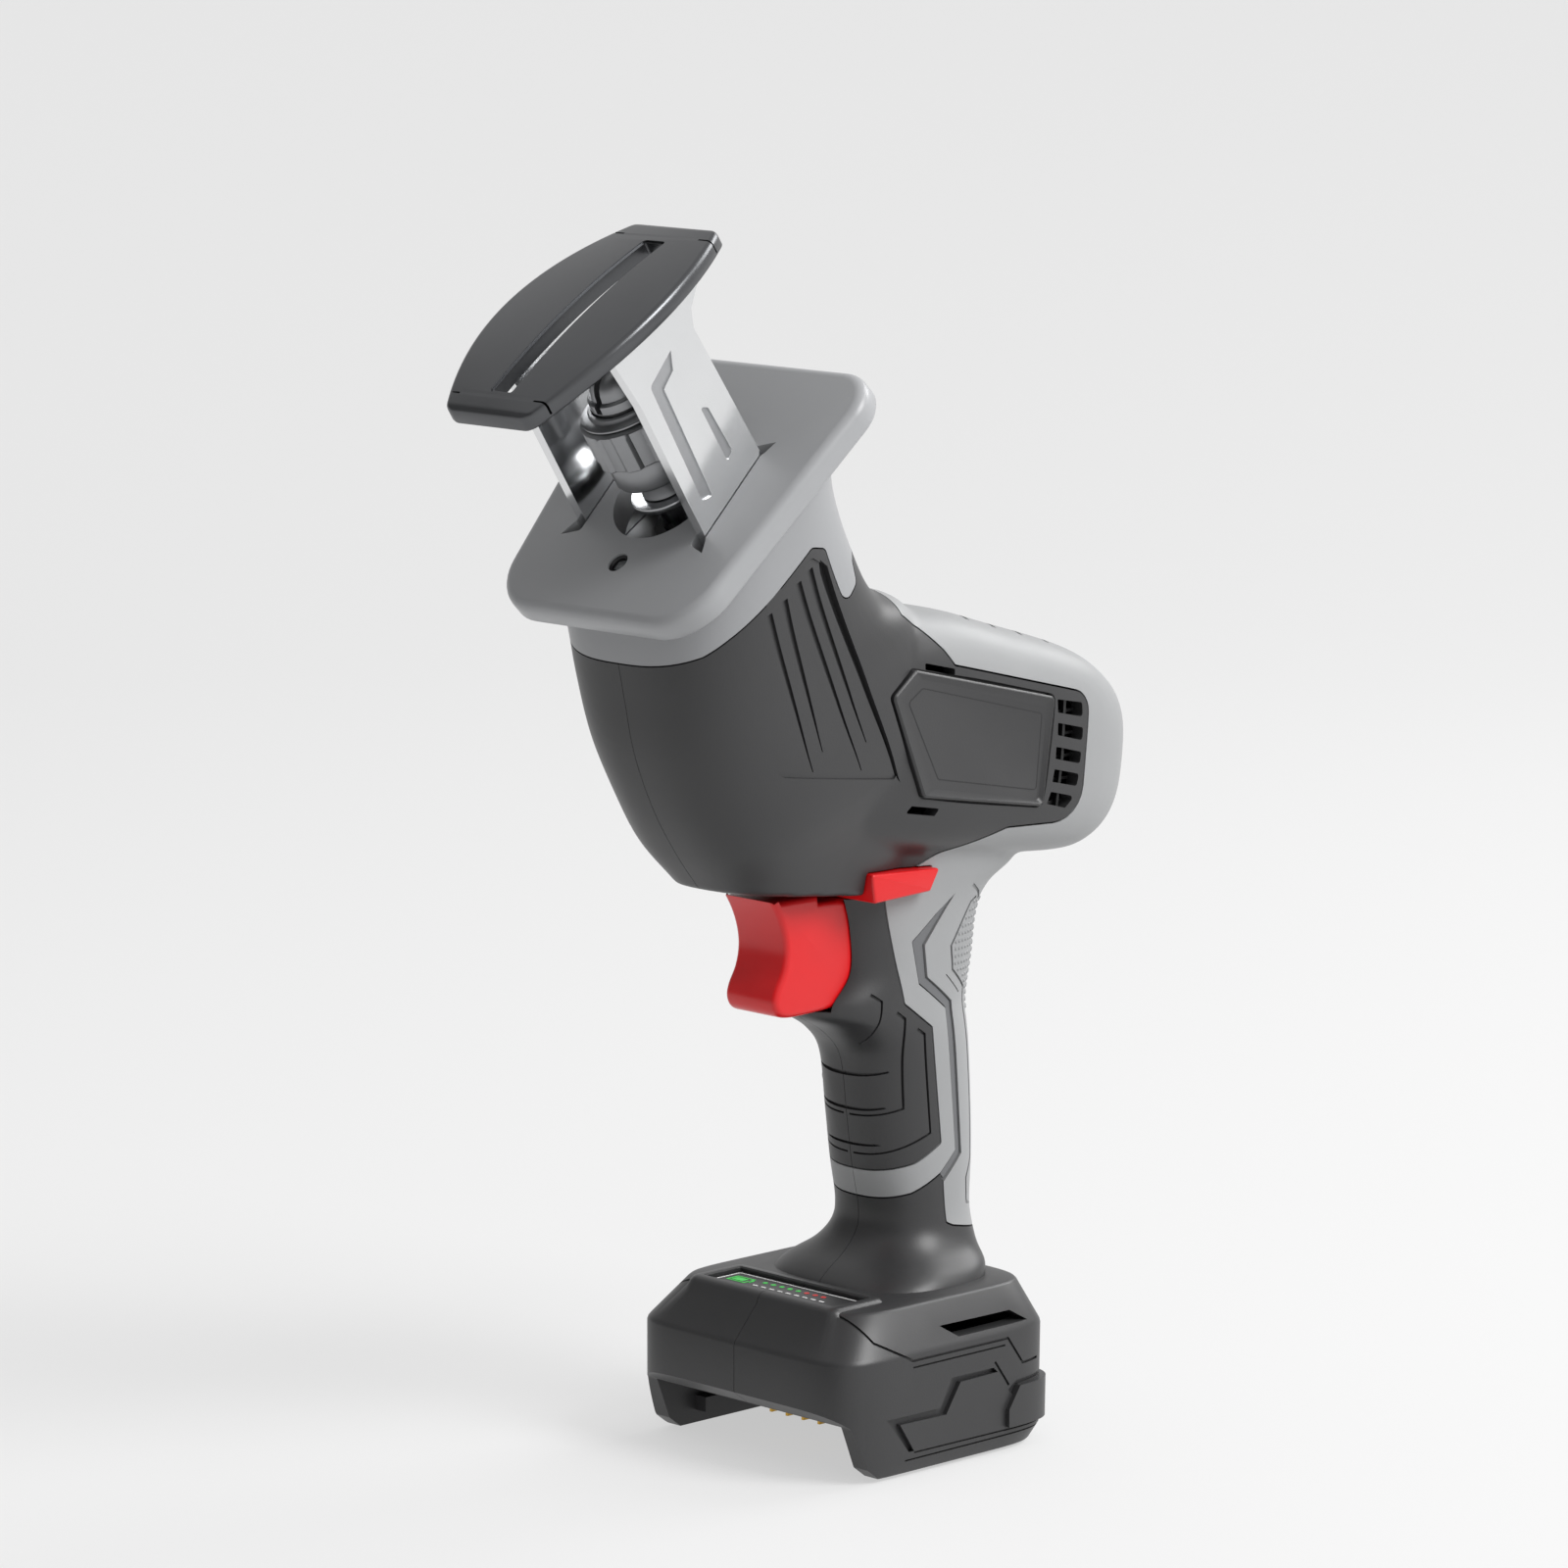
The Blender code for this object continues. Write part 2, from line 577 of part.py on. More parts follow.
def housing_half(name):
    half = duplicate(outerForm, name, darkPlastic)
    cut(half, prism(name + "_cover_cut", grown(COVER_SPLIT, FIT), -REACH, REACH), solver=SHELL)
    join(half, body_loft(name + "_core", [inset(section, CORE_INSET) for section in HANDLE]), solver=SHELL)
    freeze(half)
    shellChannel = duplicate(channel, name + "_channel")
    for side in (-1, 1):
        rail = box(f"{name}_rail_{side}", sorted((side * (channelHalf - RAIL_REACH),
                                                  side * (channelHalf + 5))), (5, 50), (3.5, 7.5))
        cut(shellChannel, rail)
    freeze(shellChannel)
    collarCut = prism(name + "_collar_cut", grown(COLLAR_SPLIT, FIT), -REACH, REACH)
    cut(half, housing_room(name + "_room"), gearboxRoom, collarCut, shellChannel, toeCut, solver=SHELL)
    keep(half, box(name + "_side", (FIT / 2, REACH), (-200, 200), (-20, 400)), solver=SHELL)
    freeze(half)
    for place, (y, z) in SCREW_PLACES.items():
        cut(half, rod(f"{name}_{place}_bore", SCREW_RADIUS + FIT, -1, SCREW_TIP + FIT, SIDE,
                      at=(y, z), sides=10), solver=SHELL)
    for i in range(VENT_COUNT):
        z = VENT_LOW + i * VENT_PITCH
        cut(half, box(f"{name}_vent_{i}", (BARREL_HALF_WIDTH - 9, REACH), (VENT_FRONT, VENT_BACK),
                      (z, z + VENT_HEIGHT)), solver=SHELL)
    cut(half, prism(name + "_badge_seat", grown(BADGE, FIT), BADGE_FLOOR - FIT, REACH), solver=SHELL)
    cut(half, prism(name + "_lock_slot", grown(LOCK_SECTION, FIT + 0.1), -REACH, REACH), solver=SHELL)
    cut(half, box(name + "_trigger_slot", (-TRIGGER_HALF_WIDTH - FIT, TRIGGER_HALF_WIDTH + FIT),
                  (FOOT_FRONT, TRIGGER_BACK + TRIGGER_TRAVEL + 1),
                  (TRIGGER_LOW - FIT, TRIGGER_TOP + FIT)), solver=SHELL)
    (x0, x1), (y0, y1) = PANEL
    cut(half, box(name + "_panel_seat", (x0 - FIT, x1 + FIT), (y0 - FIT, y1 + FIT),
                  (FOOT_DECK - PANEL_DEPTH - FIT, FOOT_DECK + 10)), solver=SHELL)
    (x0, x1), (y0, y1) = CONNECTOR_PLUG
    cut(half, box(name + "_connector_slot", (x0 - FIT, x1 + FIT), (y0 - FIT, y1 + FIT),
                  (CHANNEL_HEIGHT - 2, FOOT_FLOOR + 1)), solver=SHELL)
    return freeze(half)


housingLeft = housing_half("housing_left")
housingRight = mirrored(housingLeft, "housing_right", darkPlastic)
for screwName, (screwY, screwZ) in SCREW_PLACES.items():
    headEnd = SCREW_TIP - SCREW_LENGTH
    headSeat = headEnd + SCREW_HEAD_HEIGHT + FIT
    cut(housingRight, rod(screwName + "_through", SCREW_RADIUS + 2 * FIT, headEnd - 2, 1, SIDE,
                          at=(screwY, screwZ), sides=10), solver=SHELL)
    cut(housingRight, rod(screwName + "_counterbore", SCREW_HEAD + FIT, -REACH, headSeat, SIDE,
                          at=(screwY, screwZ), sides=12), solver=SHELL)
freeze(housingRight)
smooth(housingLeft)
smooth(housingRight)

# Grey covers over the motor and down the back of the handle, one on each half

def cover_half(name):
    cover = duplicate(outerForm, name, greyPlastic)
    keep(cover, prism(name + "_split", COVER_SPLIT, -REACH, REACH), solver=SHELL)
    core = body_loft(name + "_core", [inset(section, GRIP_SKIN) for section in HANDLE])
    lock = prism(name + "_lock_slot", grown(LOCK_SECTION, FIT + 0.1), -REACH, REACH)
    cut(cover, cavityForm, core, lock, solver=SHELL)
    keep(cover, box(name + "_side", (FIT / 2, REACH), (-200, 200), (-20, 400)), solver=SHELL)
    return freeze(cover)


coverLeft = cover_half("grip_cover_left")
coverRight = mirrored(coverLeft, "grip_cover_right", greyPlastic)
smooth(coverLeft)
smooth(coverRight)

collar = duplicate(outerForm, "guard_collar", greyPlastic)
keep(collar, prism("collar_split", COLLAR_SPLIT, -REACH, REACH), solver=SHELL)
cut(collar, cavityForm, solver=SHELL)
freeze(collar)
smooth(collar)

# Side badges, blank

for badgeName, low, high in (("side_badge_left", BADGE_FLOOR, BADGE_FACE),
                             ("side_badge_right", -BADGE_FACE, -BADGE_FLOOR)):
    prism(badgeName, rounded(BADGE, 1.5, 3), low, high, SIDE, blackPlastic)


# Front guard: a rounded trapezoid plate with the blade hole, two leg slots and the lamp hole

LEG_SLOT = (LEG_OFFSET - LEG_THICKNESS / 2 - FIT, LEG_OFFSET + LEG_THICKNESS / 2 + FIT)
LAMP_DEPTH = 8.6

guardOutline = rounded([(-GUARD_LOW_HALF_WIDTH, 0), (GUARD_LOW_HALF_WIDTH, 0),
                        (GUARD_HIGH_HALF_WIDTH, GUARD_LENGTH), (-GUARD_HIGH_HALF_WIDTH, GUARD_LENGTH)],
                       [16, 16, 12, 12], 8)
guard = prism("front_guard", guardOutline, -GUARD_THICKNESS, 0, GUARD, greyPlastic)
guardRound = guard.modifiers.new("rounding", "BEVEL")
guardRound.width = 2.2 * MM
guardRound.segments = 1
freeze(guard)
cut(guard, rod("guard_hole", GUARD_HOLE, 50, 100, BLADE, sides=40))
for side in (-1, 1):
    cut(guard, box(f"guard_leg_slot_{side}", sorted((side * LEG_SLOT[0], side * LEG_SLOT[1])),
                   (-LEG_HALF_WIDTH - 1.2, LEG_HALF_WIDTH + 1.2), (50, 100), BLADE))
cut(guard, rod("guard_lamp_hole", LAMP_RADIUS + FIT, -20, 5, GUARD, at=(0, LAMP_FROM_EDGE), sides=20))
freeze(guard)
smooth(guard)

turned("lamp_lens", [(0, -1.2), (LAMP_RADIUS * 0.7, -1.5), (LAMP_RADIUS, -2.4), (LAMP_RADIUS, -LAMP_DEPTH),
                     (0, -LAMP_DEPTH)], GUARD, clearLens, 20, at=(0, LAMP_FROM_EDGE))
box("lamp_board", (-5, 5), (LAMP_FROM_EDGE - 4, LAMP_FROM_EDGE + 4),
    (-LAMP_DEPTH - FIT - 1.6, -LAMP_DEPTH - FIT), GUARD, circuitBoard)


# Gearbox: an open tub and its cover plate

gearbox = gearbox_block("gearbox_frame", GEARBOX_RIGHT, GEARBOX_LEFT, 0.0, castMetal)
POCKET_RADIUS = GEAR_OUTER + 1.2
PINION_HUB = 4.2
GUIDE_RADIUS = 8.0
BEARING_RADIUS = 9.5
ROLLER_CLEARANCE = 1.0                   # between the gear's axle and the roller that circles it
AXLE_RADIUS = STROKE / 2 - ROLLER_RADIUS - ROLLER_CLEARANCE
AXLE_BEARING_RADIUS = 9.0
AXLE_BEARING = (-18.7, -14.2)
YOKE_HALF_LENGTH = STROKE / 2 + ROLLER_RADIUS + 0.3 + 2.0
YOKE_HALF_HEIGHT = ROLLER_RADIUS + 0.2 + 2.0
cut(gearbox, rod("gear_pocket", POCKET_RADIUS, POCKET_FLOOR, GEARBOX_LEFT + 1, CRANK, sides=32),
    box("plunger_pocket", (POCKET_FLOOR + 4, GEARBOX_LEFT + 1),
        (-YOKE_HALF_LENGTH - 0.8, YOKE_HALF_LENGTH - 1.2 + 2), (0, BUSHING_SEAT[0]), BLADE),
    box("pinion_pocket", (POCKET_FLOOR + 4, GEARBOX_LEFT + 1), (-9, 9), (0, BEARING_SEAT[0]), MOTOR),
    rod("guide_bore", GUIDE_RADIUS + FIT, 30, 60, BLADE),
    rod("pinion_bearing_bore", BEARING_RADIUS + FIT, BEARING_SEAT[0] + 1, 50, MOTOR),
    rod("pinion_hub_bore", PINION_HUB + 2 * FIT, BEARING_SEAT[0] - 1, 50, MOTOR, sides=20),
    rod("axle_bearing_bore", AXLE_BEARING_RADIUS + FIT, AXLE_BEARING[0] - FIT, POCKET_FLOOR + 1, CRANK))
freeze(gearbox)
smooth(gearbox)
gearbox_block("gearbox_lid", GEARBOX_LEFT + FIT, GEARBOX_LEFT + FIT + COVER_PLATE - FIT, -0.5, castMetal)


# Crank gear, its roller, axle and bearing. The teeth shrink towards the crank axis.

GEAR_SLOPE = PINION_TEETH / GEAR_TEETH   # depth of the pitch cone for each millimetre of radius
TOOTH_TIP = 0.045                        # tooth height above the pitch cone, per millimetre
TOOTH_ROOT = 0.07
GEAR_BACK = -12.6
GEAR_WEB = -8.8


def gear_point(reach, level, angle):
    return (reach * cos(angle), reach * sin(angle), -reach * (GEAR_SLOPE - level))


def pinion_point(reach, level, angle):
    radius = reach * (GEAR_SLOPE + level)
    return (radius * cos(angle), radius * sin(angle), reach)


def tooth_ring(teeth, reach, point, phase):
    points = []
    for i in range(teeth):
        for part, level in ((-0.36, -TOOTH_ROOT), (-0.15, TOOTH_TIP), (0.15, TOOTH_TIP),
                            (0.36, -TOOTH_ROOT)):
            points.append(point(reach, level, 2 * pi * (i + part + phase) / teeth))
    return points


def circle_ring(teeth, radius, height, phase):
    # Four points for each tooth, so the ring pairs with a tooth ring.
    angles = [2 * pi * ((i - 1.5) / 4 + phase) / teeth for i in range(4 * teeth)]
    return [(radius * cos(angle), radius * sin(angle), height) for angle in angles]


# The pinion's tooth that faces the gear sits in a gap, which lies along the motor axis.
gearPhase = -MOTOR_PITCH * GEAR_TEETH / 360 - 0.5
gearRings = [
    circle_ring(GEAR_TEETH, GEAR_OUTER, GEAR_BACK, gearPhase),
    tooth_ring(GEAR_TEETH, GEAR_OUTER, gear_point, gearPhase),
    tooth_ring(GEAR_TEETH, GEAR_INNER, gear_point, gearPhase),
    circle_ring(GEAR_TEETH, GEAR_INNER - 0.6, GEAR_WEB, gearPhase),
]
gear = loft("drive_gear", gearRings, darkSteel, CRANK)
crankRadius = STROKE / 2
PIN_RADIUS = 1.7
YOKE_HALF_THICKNESS = 4.5
PIN_END = -YOKE_HALF_THICKNESS - 0.4
join(gear, rod("crank_pin", PIN_RADIUS, GEAR_WEB - 1, PIN_END, CRANK, at=(crankRadius, 0), sides=20))
cut(gear, rod("gear_bore", AXLE_RADIUS + FIT, GEAR_BACK - 5, GEAR_WEB + 2, CRANK, sides=24))
freeze(gear)
smooth(gear, 20)
turned("crank_roller", [(ROLLER_RADIUS, PIN_END - 0.1), (ROLLER_RADIUS, GEAR_WEB + FIT),
                        (PIN_RADIUS + FIT, GEAR_WEB + FIT), (PIN_RADIUS + FIT, PIN_END - 0.1)],
       CRANK, steel, 20, at=(crankRadius, 0))
turned("gear_axle", [(0, GEAR_WEB + 0.6), (AXLE_RADIUS, GEAR_WEB + 0.6), (AXLE_RADIUS, AXLE_BEARING[0]),
                     (0, AXLE_BEARING[0])], CRANK, steel, 24)


def bearing(name, bore, outer, low, high, frame):
    return turned(name, [(outer, high), (outer, low), (bore, low), (bore, high), (bore + 1.6, high),
                         (bore + 1.6, high - 0.5), (outer - 1.6, high - 0.5), (outer - 1.6, high)],
                  frame, steel, 18)


bearing("gear_bearing", AXLE_RADIUS + FIT, AXLE_BEARING_RADIUS, AXLE_BEARING[0], AXLE_BEARING[1], CRANK)


# Motor, along its own axis from the pinion back to the end bell

SHAFT_BORE = SHAFT_RADIUS + FIT
pinion = loft("motor_pinion", [tooth_ring(PINION_TEETH, GEAR_INNER, pinion_point, 0.0),
                               tooth_ring(PINION_TEETH, GEAR_OUTER, pinion_point, 0.0),
                               circle_ring(PINION_TEETH, PINION_HUB, GEAR_OUTER + 0.6, 0.0),
                               circle_ring(PINION_TEETH, PINION_HUB, BEARING_SEAT[0] + 0.7, 0.0)],
              steel, MOTOR)
cut(pinion, rod("pinion_bore", SHAFT_BORE, 10, 40, MOTOR, sides=16))
freeze(pinion)
bearing("front_bearing", SHAFT_BORE, BEARING_RADIUS, BEARING_SEAT[0] + 1 + FIT, BEARING_SEAT[0] + 7.3, MOTOR)

CAN_END = CAN_START + CAN_LENGTH
BELL_LENGTH = 6.0
CAN_WALL = 1.8
ARMATURE_RADIUS = 14.5
turned("motor_shaft", [(0, CAN_END + 4.6), (SHAFT_RADIUS, CAN_END + 4.6), (SHAFT_RADIUS, GEAR_INNER + 0.4),
                       (0, GEAR_INNER + 0.4)], MOTOR, steel, 20)
turned("motor_can", [(CAN_RADIUS, CAN_END), (CAN_RADIUS, CAN_START + 2), (CAN_RADIUS - 2, CAN_START),
                     (5.0, CAN_START), (5.0, CAN_START + CAN_WALL), (CAN_RADIUS - 2, CAN_START + CAN_WALL),
                     (CAN_RADIUS - CAN_WALL, CAN_START + 3), (CAN_RADIUS - CAN_WALL, CAN_END)],
       MOTOR, darkSteel, 28)
BELL = CAN_END + FIT
turned("motor_end_bell", [(CAN_RADIUS - 7, BELL + BELL_LENGTH), (CAN_RADIUS - 2, BELL + 2),
                          (CAN_RADIUS - 2, BELL), (6.0, BELL), (6.0, BELL + 4.6), (3.0, BELL + 4.6),
                          (3.0, BELL + BELL_LENGTH)],
       MOTOR, blackPlastic, 24)
bearing("rear_bearing", SHAFT_BORE, 5.7, BELL + 0.4, BELL + 4.3, MOTOR)

MAGNET_OUTER = CAN_RADIUS - CAN_WALL - FIT
MAGNET_INNER = ARMATURE_RADIUS + 0.7
magnetOutline = [(cos(radians(a)) * MAGNET_OUTER, sin(radians(a)) * MAGNET_OUTER) for a in range(-60, 61, 10)]
magnetOutline += [(cos(radians(a)) * MAGNET_INNER, sin(radians(a)) * MAGNET_INNER)
                  for a in range(60, -61, -10)]
prism("motor_magnet_left", magnetOutline, CAN_START + 6, CAN_END - 10, MOTOR, darkSteel)
prism("motor_magnet_right", [(-x, y) for x, y in reversed(magnetOutline)], CAN_START + 6, CAN_END - 10,
      MOTOR, darkSteel)

ARMATURE = (CAN_START + 8, CAN_END - 12)
SLOTS = 10
armatureOutline = []
for i in range(SLOTS):
    for part, radius in ((0.08, 8.0), (0.08, 12.5), (0.12, ARMATURE_RADIUS), (0.5, ARMATURE_RADIUS),
                         (0.88, ARMATURE_RADIUS), (0.92, 12.5), (0.92, 8.0)):
        angle = 2 * pi * (i + part) / SLOTS
        armatureOutline.append((radius * cos(angle), radius * sin(angle)))
armature = prism("armature", armatureOutline, ARMATURE[0], ARMATURE[1], MOTOR, darkSteel)
cut(armature, rod("armature_bore", SHAFT_BORE, 40, 100, MOTOR, sides=16))
freeze(armature)
turned("armature_winding", [(12.0, ARMATURE[1] + 3.6), (12.6, ARMATURE[1] + 2.6), (12.6, ARMATURE[1] + FIT),
                            (5.0, ARMATURE[1] + FIT), (5.0, ARMATURE[1] + 3.6)], MOTOR, copper, 30)
turned("commutator", [(7.0, CAN_END - 1.5), (7.0, ARMATURE[1] + 4.2), (SHAFT_BORE, ARMATURE[1] + 4.2),
                      (SHAFT_BORE, CAN_END - 1.5)], MOTOR, copper, 24)
BRUSH_END = CAN_RADIUS - CAN_WALL - 3.7   # each brush stops short of the can
for brushName, side in (("motor_brush_left", 1), ("motor_brush_right", -1)):
    box(brushName, sorted((side * 7.3, side * BRUSH_END)), (-2.5, 2.5), (CAN_END - 7.0, CAN_END - 3.0),
        MOTOR, carbon)

FAN = (CAN_START - 8.0, CAN_START - 2.0)
fan = turned("motor_fan", [(19.5, FAN[1]), (19.5, FAN[1] - 1.4), (5.0, FAN[1] - 1.4), (4.6, FAN[0]),
                           (SHAFT_BORE, FAN[0]), (SHAFT_BORE, FAN[1])], MOTOR, blackPlastic, 24)
BLADES = 9
for i in range(BLADES):
    blade = box(f"fan_blade_{i}", (8.0, 18.5), (-0.6, 0.6), (FAN[0] + 0.4, FAN[1] - 1),
                MOTOR @ Matrix.Rotation(2 * pi * i / BLADES, 4, "Z"))
    join(fan, blade)
freeze(fan)


# Plunger with its yoke, guide, seal, and the blade clamp

yoke = box("plunger", (-YOKE_HALF_THICKNESS, YOKE_HALF_THICKNESS), (-YOKE_HALF_LENGTH, YOKE_HALF_LENGTH),
           (-YOKE_HALF_HEIGHT, YOKE_HALF_HEIGHT), BLADE, steel)
slotHalf = STROKE / 2 + ROLLER_RADIUS + 0.3
cut(yoke, box("yoke_slot", (-10, 10), (-slotHalf, slotHalf), (-ROLLER_RADIUS - 0.2, ROLLER_RADIUS + 0.2),
              BLADE))
# The rod is slimmer where it passes the gear's teeth.
NECK_RADIUS = 3.7
NECK_END = GEAR_OUTER + STROKE / 2 - 0.5
join(yoke, turned("plunger_rod", [(0, CHUCK_START + 6.5), (PLUNGER_RADIUS, CHUCK_START + 6.5),
                                  (PLUNGER_RADIUS, NECK_END), (NECK_RADIUS, NECK_END - 1.5),
                                  (NECK_RADIUS, YOKE_HALF_HEIGHT - 1), (0, YOKE_HALF_HEIGHT - 1)],
                  BLADE, sides=24))
freeze(yoke)
smooth(yoke)
GUIDE_END = BUSHING_SEAT[1] + 16.0
turned("plunger_guide", [(GUIDE_RADIUS, GUIDE_END), (GUIDE_RADIUS, BUSHING_SEAT[0] + 0.5),
                         (PLUNGER_RADIUS + FIT, BUSHING_SEAT[0] + 0.5), (PLUNGER_RADIUS + FIT, GUIDE_END)],
       BLADE, brass, 28)
turned("plunger_seal", [(GUIDE_RADIUS, GUIDE_END + 3), (GUIDE_RADIUS, GUIDE_END + FIT),
                        (PLUNGER_RADIUS + FIT, GUIDE_END + FIT), (PLUNGER_RADIUS + FIT, GUIDE_END + 3)],
       BLADE, rubber, 28)
turned("chuck_washer", [(9.5, CHUCK_START + 1.6), (10.0, CHUCK_START + 1.2), (10.0, CHUCK_START),
                        (PLUNGER_RADIUS + FIT, CHUCK_START), (PLUNGER_RADIUS + FIT, CHUCK_START + 1.6)],
       BLADE, steel, 24)
NECK = CHUCK_START + 1.9
LOWER_SLEEVE = CHUCK_START + 7.0
UPPER_SLEEVE = CHUCK_START + 15.0
SLEEVE_END = CHUCK_START + 27.0
CLAMP_END = CHUCK_START + 39.0
CLAMP_RADIUS = 8.3
clamp = turned("blade_clamp", [(0, CLAMP_END), (2.5, CLAMP_END - 0.3), (5.2, CLAMP_END - 1.8),
                               (7.0, CLAMP_END - 4.5), (CLAMP_RADIUS - 0.5, CLAMP_END - 8.0),
                               (CLAMP_RADIUS, SLEEVE_END + 2.8), (CLAMP_RADIUS, LOWER_SLEEVE),
                               (6.6, LOWER_SLEEVE - 1.5), (6.6, NECK), (PLUNGER_RADIUS + FIT, NECK),
                               (PLUNGER_RADIUS + FIT, CHUCK_START + 7.0), (0, CHUCK_START + 7.0)],
               BLADE, darkSteel, 24)
cut(clamp, box("blade_slit", (-0.9, 0.9), (-20, 20), (CLAMP_END - 8.5, CLAMP_END + 5), BLADE))
freeze(clamp)
smooth(clamp)
SLEEVE_BORE = CLAMP_RADIUS + FIT
sleeve = turned("clamp_sleeve", [(SLEEVE_RADIUS - 0.6, SLEEVE_END), (SLEEVE_RADIUS, SLEEVE_END - 0.6),
                                 (SLEEVE_RADIUS, UPPER_SLEEVE + 0.4), (SLEEVE_RADIUS - 0.6, UPPER_SLEEVE),
                                 (SLEEVE_RADIUS - 2.0, UPPER_SLEEVE),
                                 (SLEEVE_RADIUS - 2.0, LOWER_SLEEVE + 0.6),
                                 (SLEEVE_RADIUS - 2.6, LOWER_SLEEVE + FIT), (SLEEVE_BORE, LOWER_SLEEVE + FIT),
                                 (SLEEVE_BORE, UPPER_SLEEVE + 1.5), (SLEEVE_RADIUS - 2.2, UPPER_SLEEVE + 1.5),
                                 (SLEEVE_RADIUS - 2.2, SLEEVE_END - 1.5), (SLEEVE_BORE, SLEEVE_END - 1.5),
                                 (SLEEVE_BORE, SLEEVE_END)], BLADE, darkSteel, 24)
FLATS = 8
for i in range(FLATS):
    turn = BLADE @ Matrix.Rotation(2 * pi * (i + 0.5) / FLATS, 4, "Z")
    flat = rod(f"sleeve_flat_{i}", 2.6, UPPER_SLEEVE + 1, SLEEVE_END - 1, turn,
               at=(SLEEVE_RADIUS + 1.9, 0), sides=8)
    cut(sleeve, flat)
freeze(sleeve)
smooth(sleeve)
turned("clamp_ring", [(SLEEVE_RADIUS - 1.4, SLEEVE_END + 2.5), (SLEEVE_RADIUS - 0.9, SLEEVE_END + 2.0),
                      (SLEEVE_RADIUS - 0.9, SLEEVE_END + FIT), (SLEEVE_BORE, SLEEVE_END + FIT),
                      (SLEEVE_BORE, SLEEVE_END + 2.5)], BLADE, steel, 24)

SPRING_WIRE = 0.5
springRadius = (SLEEVE_BORE + SLEEVE_RADIUS - 2.2) / 2 - 0.05
springCurve = bpy.data.curves.new("clamp_spring", "CURVE")
springCurve.dimensions = "3D"
springCurve.bevel_depth = SPRING_WIRE * MM
springCurve.bevel_resolution = 1
springCurve.use_fill_caps = True
SPRING_TURNS = 2
STEPS = 12
coil = springCurve.splines.new("POLY")
coil.points.add(SPRING_TURNS * STEPS)
for i, point in enumerate(coil.points):
    angle = 2 * pi * i / STEPS
    rise = UPPER_SLEEVE + 3.0 + 2.2 * i / STEPS
    point.co = (springRadius * cos(angle) * MM, springRadius * sin(angle) * MM, rise * MM, 1)
spring = put("clamp_spring", springCurve, BLADE, steel)


# Shoe: an arched plate with a slot, on two legs

def swell(along):
    return SHOE_END_HALF_WIDTH + SHOE_SWELL * (1 - (along / SHOE_HALF_LENGTH) ** 2)


def arch(along):
    return SHOE_DISTANCE + SHOE_ARCH * (1 - (along / SHOE_HALF_LENGTH) ** 2)


SHOE_STEPS = 16
shoeRings = []
for i in range(SHOE_STEPS + 1):
    along = SHOE_HALF_LENGTH * (2 * i / SHOE_STEPS - 1)
    half, top = swell(along), arch(along)
    low = top - SHOE_THICKNESS
    shoeRings.append([(-half, along, low), (half, along, low), (half, along, top - 0.8),
                      (half - 0.8, along, top), (-half + 0.8, along, top), (-half, along, top - 0.8)])
shoe = loft("shoe", shoeRings, steel, BLADE)
SHOE_SLOT = (-31.0, 30.0)
SHOE_SLOT_HALF = 3.3
cut(shoe, box("shoe_slot", (-SHOE_SLOT_HALF, SHOE_SLOT_HALF), SHOE_SLOT,
              (SHOE_DISTANCE - 20, SHOE_DISTANCE + 10), BLADE))
# The legs are drawn with their length first, in a frame that turns it onto the blade axis.
BLADE_SIDE = BLADE @ Matrix(((0, 0, -1, 0), (0, 1, 0, 0), (1, 0, 0, 0), (0, 0, 0, 1)))
LEG_FOOT = 50.0
LEG_TOP_HALF = 12.5
for side in (-1, 1):
    inner, outer = sorted((side * (LEG_OFFSET - LEG_THICKNESS / 2), side * (LEG_OFFSET + LEG_THICKNESS / 2)))
    legTop = arch(LEG_TOP_HALF + 7) - SHOE_THICKNESS
    outline = [(LEG_FOOT, -LEG_HALF_WIDTH + 1), (legTop - 14, -LEG_TOP_HALF), (legTop, -LEG_TOP_HALF - 1.5),
               (legTop + 1.8, -LEG_TOP_HALF - 1.5), (legTop + 1.8, LEG_TOP_HALF + 7),
               (legTop, LEG_TOP_HALF + 6.5), (legTop - 3.5, LEG_TOP_HALF + 2.0),
               (legTop - 8, LEG_TOP_HALF), (LEG_FOOT + 26, LEG_HALF_WIDTH), (LEG_FOOT, LEG_HALF_WIDTH)]
    leg = prism(f"shoe_leg_{side}", outline, inner, outer, BLADE_SIDE)
    join(shoe, leg)
freeze(shoe)
LEG_SCREW = LEG_FOOT + 5.0
carrierHalf = LEG_OFFSET - LEG_THICKNESS / 2 - FIT
carrier = box("shoe_carrier", (-carrierHalf, carrierHalf), (-12.5, 12.5), (BUSHING_SEAT[1] + 1.5, 60.5),
              BLADE, castMetal)
cut(carrier, rod("carrier_bore", GUIDE_RADIUS + FIT, 30, 80, BLADE))
for screwName, side in (("shoe_screw_left", 1), ("shoe_screw_right", -1)):
    turn = BLADE @ Matrix.Translation(Vector((0, 0, LEG_SCREW)) * MM) @ Matrix.Rotation(side * pi / 2, 4, "Y")
    face = LEG_OFFSET + LEG_THICKNESS / 2
    cut(carrier, rod(screwName + "_bore", 2.0 + FIT, face - 10.5, face + 5, turn, sides=16))
    cut(shoe, rod(screwName + "_hole", 2.0 + FIT, face - 10, face + 5, turn, sides=16))
    turned(screwName, [(0, face + 2.6), (3.4, face + 2.6), (4.0, face + 2.0), (4.0, face + FIT),
                       (2.0, face + FIT), (2.0, face - 10), (0, face - 10)], turn, darkSteel, 20)
freeze(carrier)
freeze(shoe)
smooth(shoe)


# Trigger, switch and lock bar

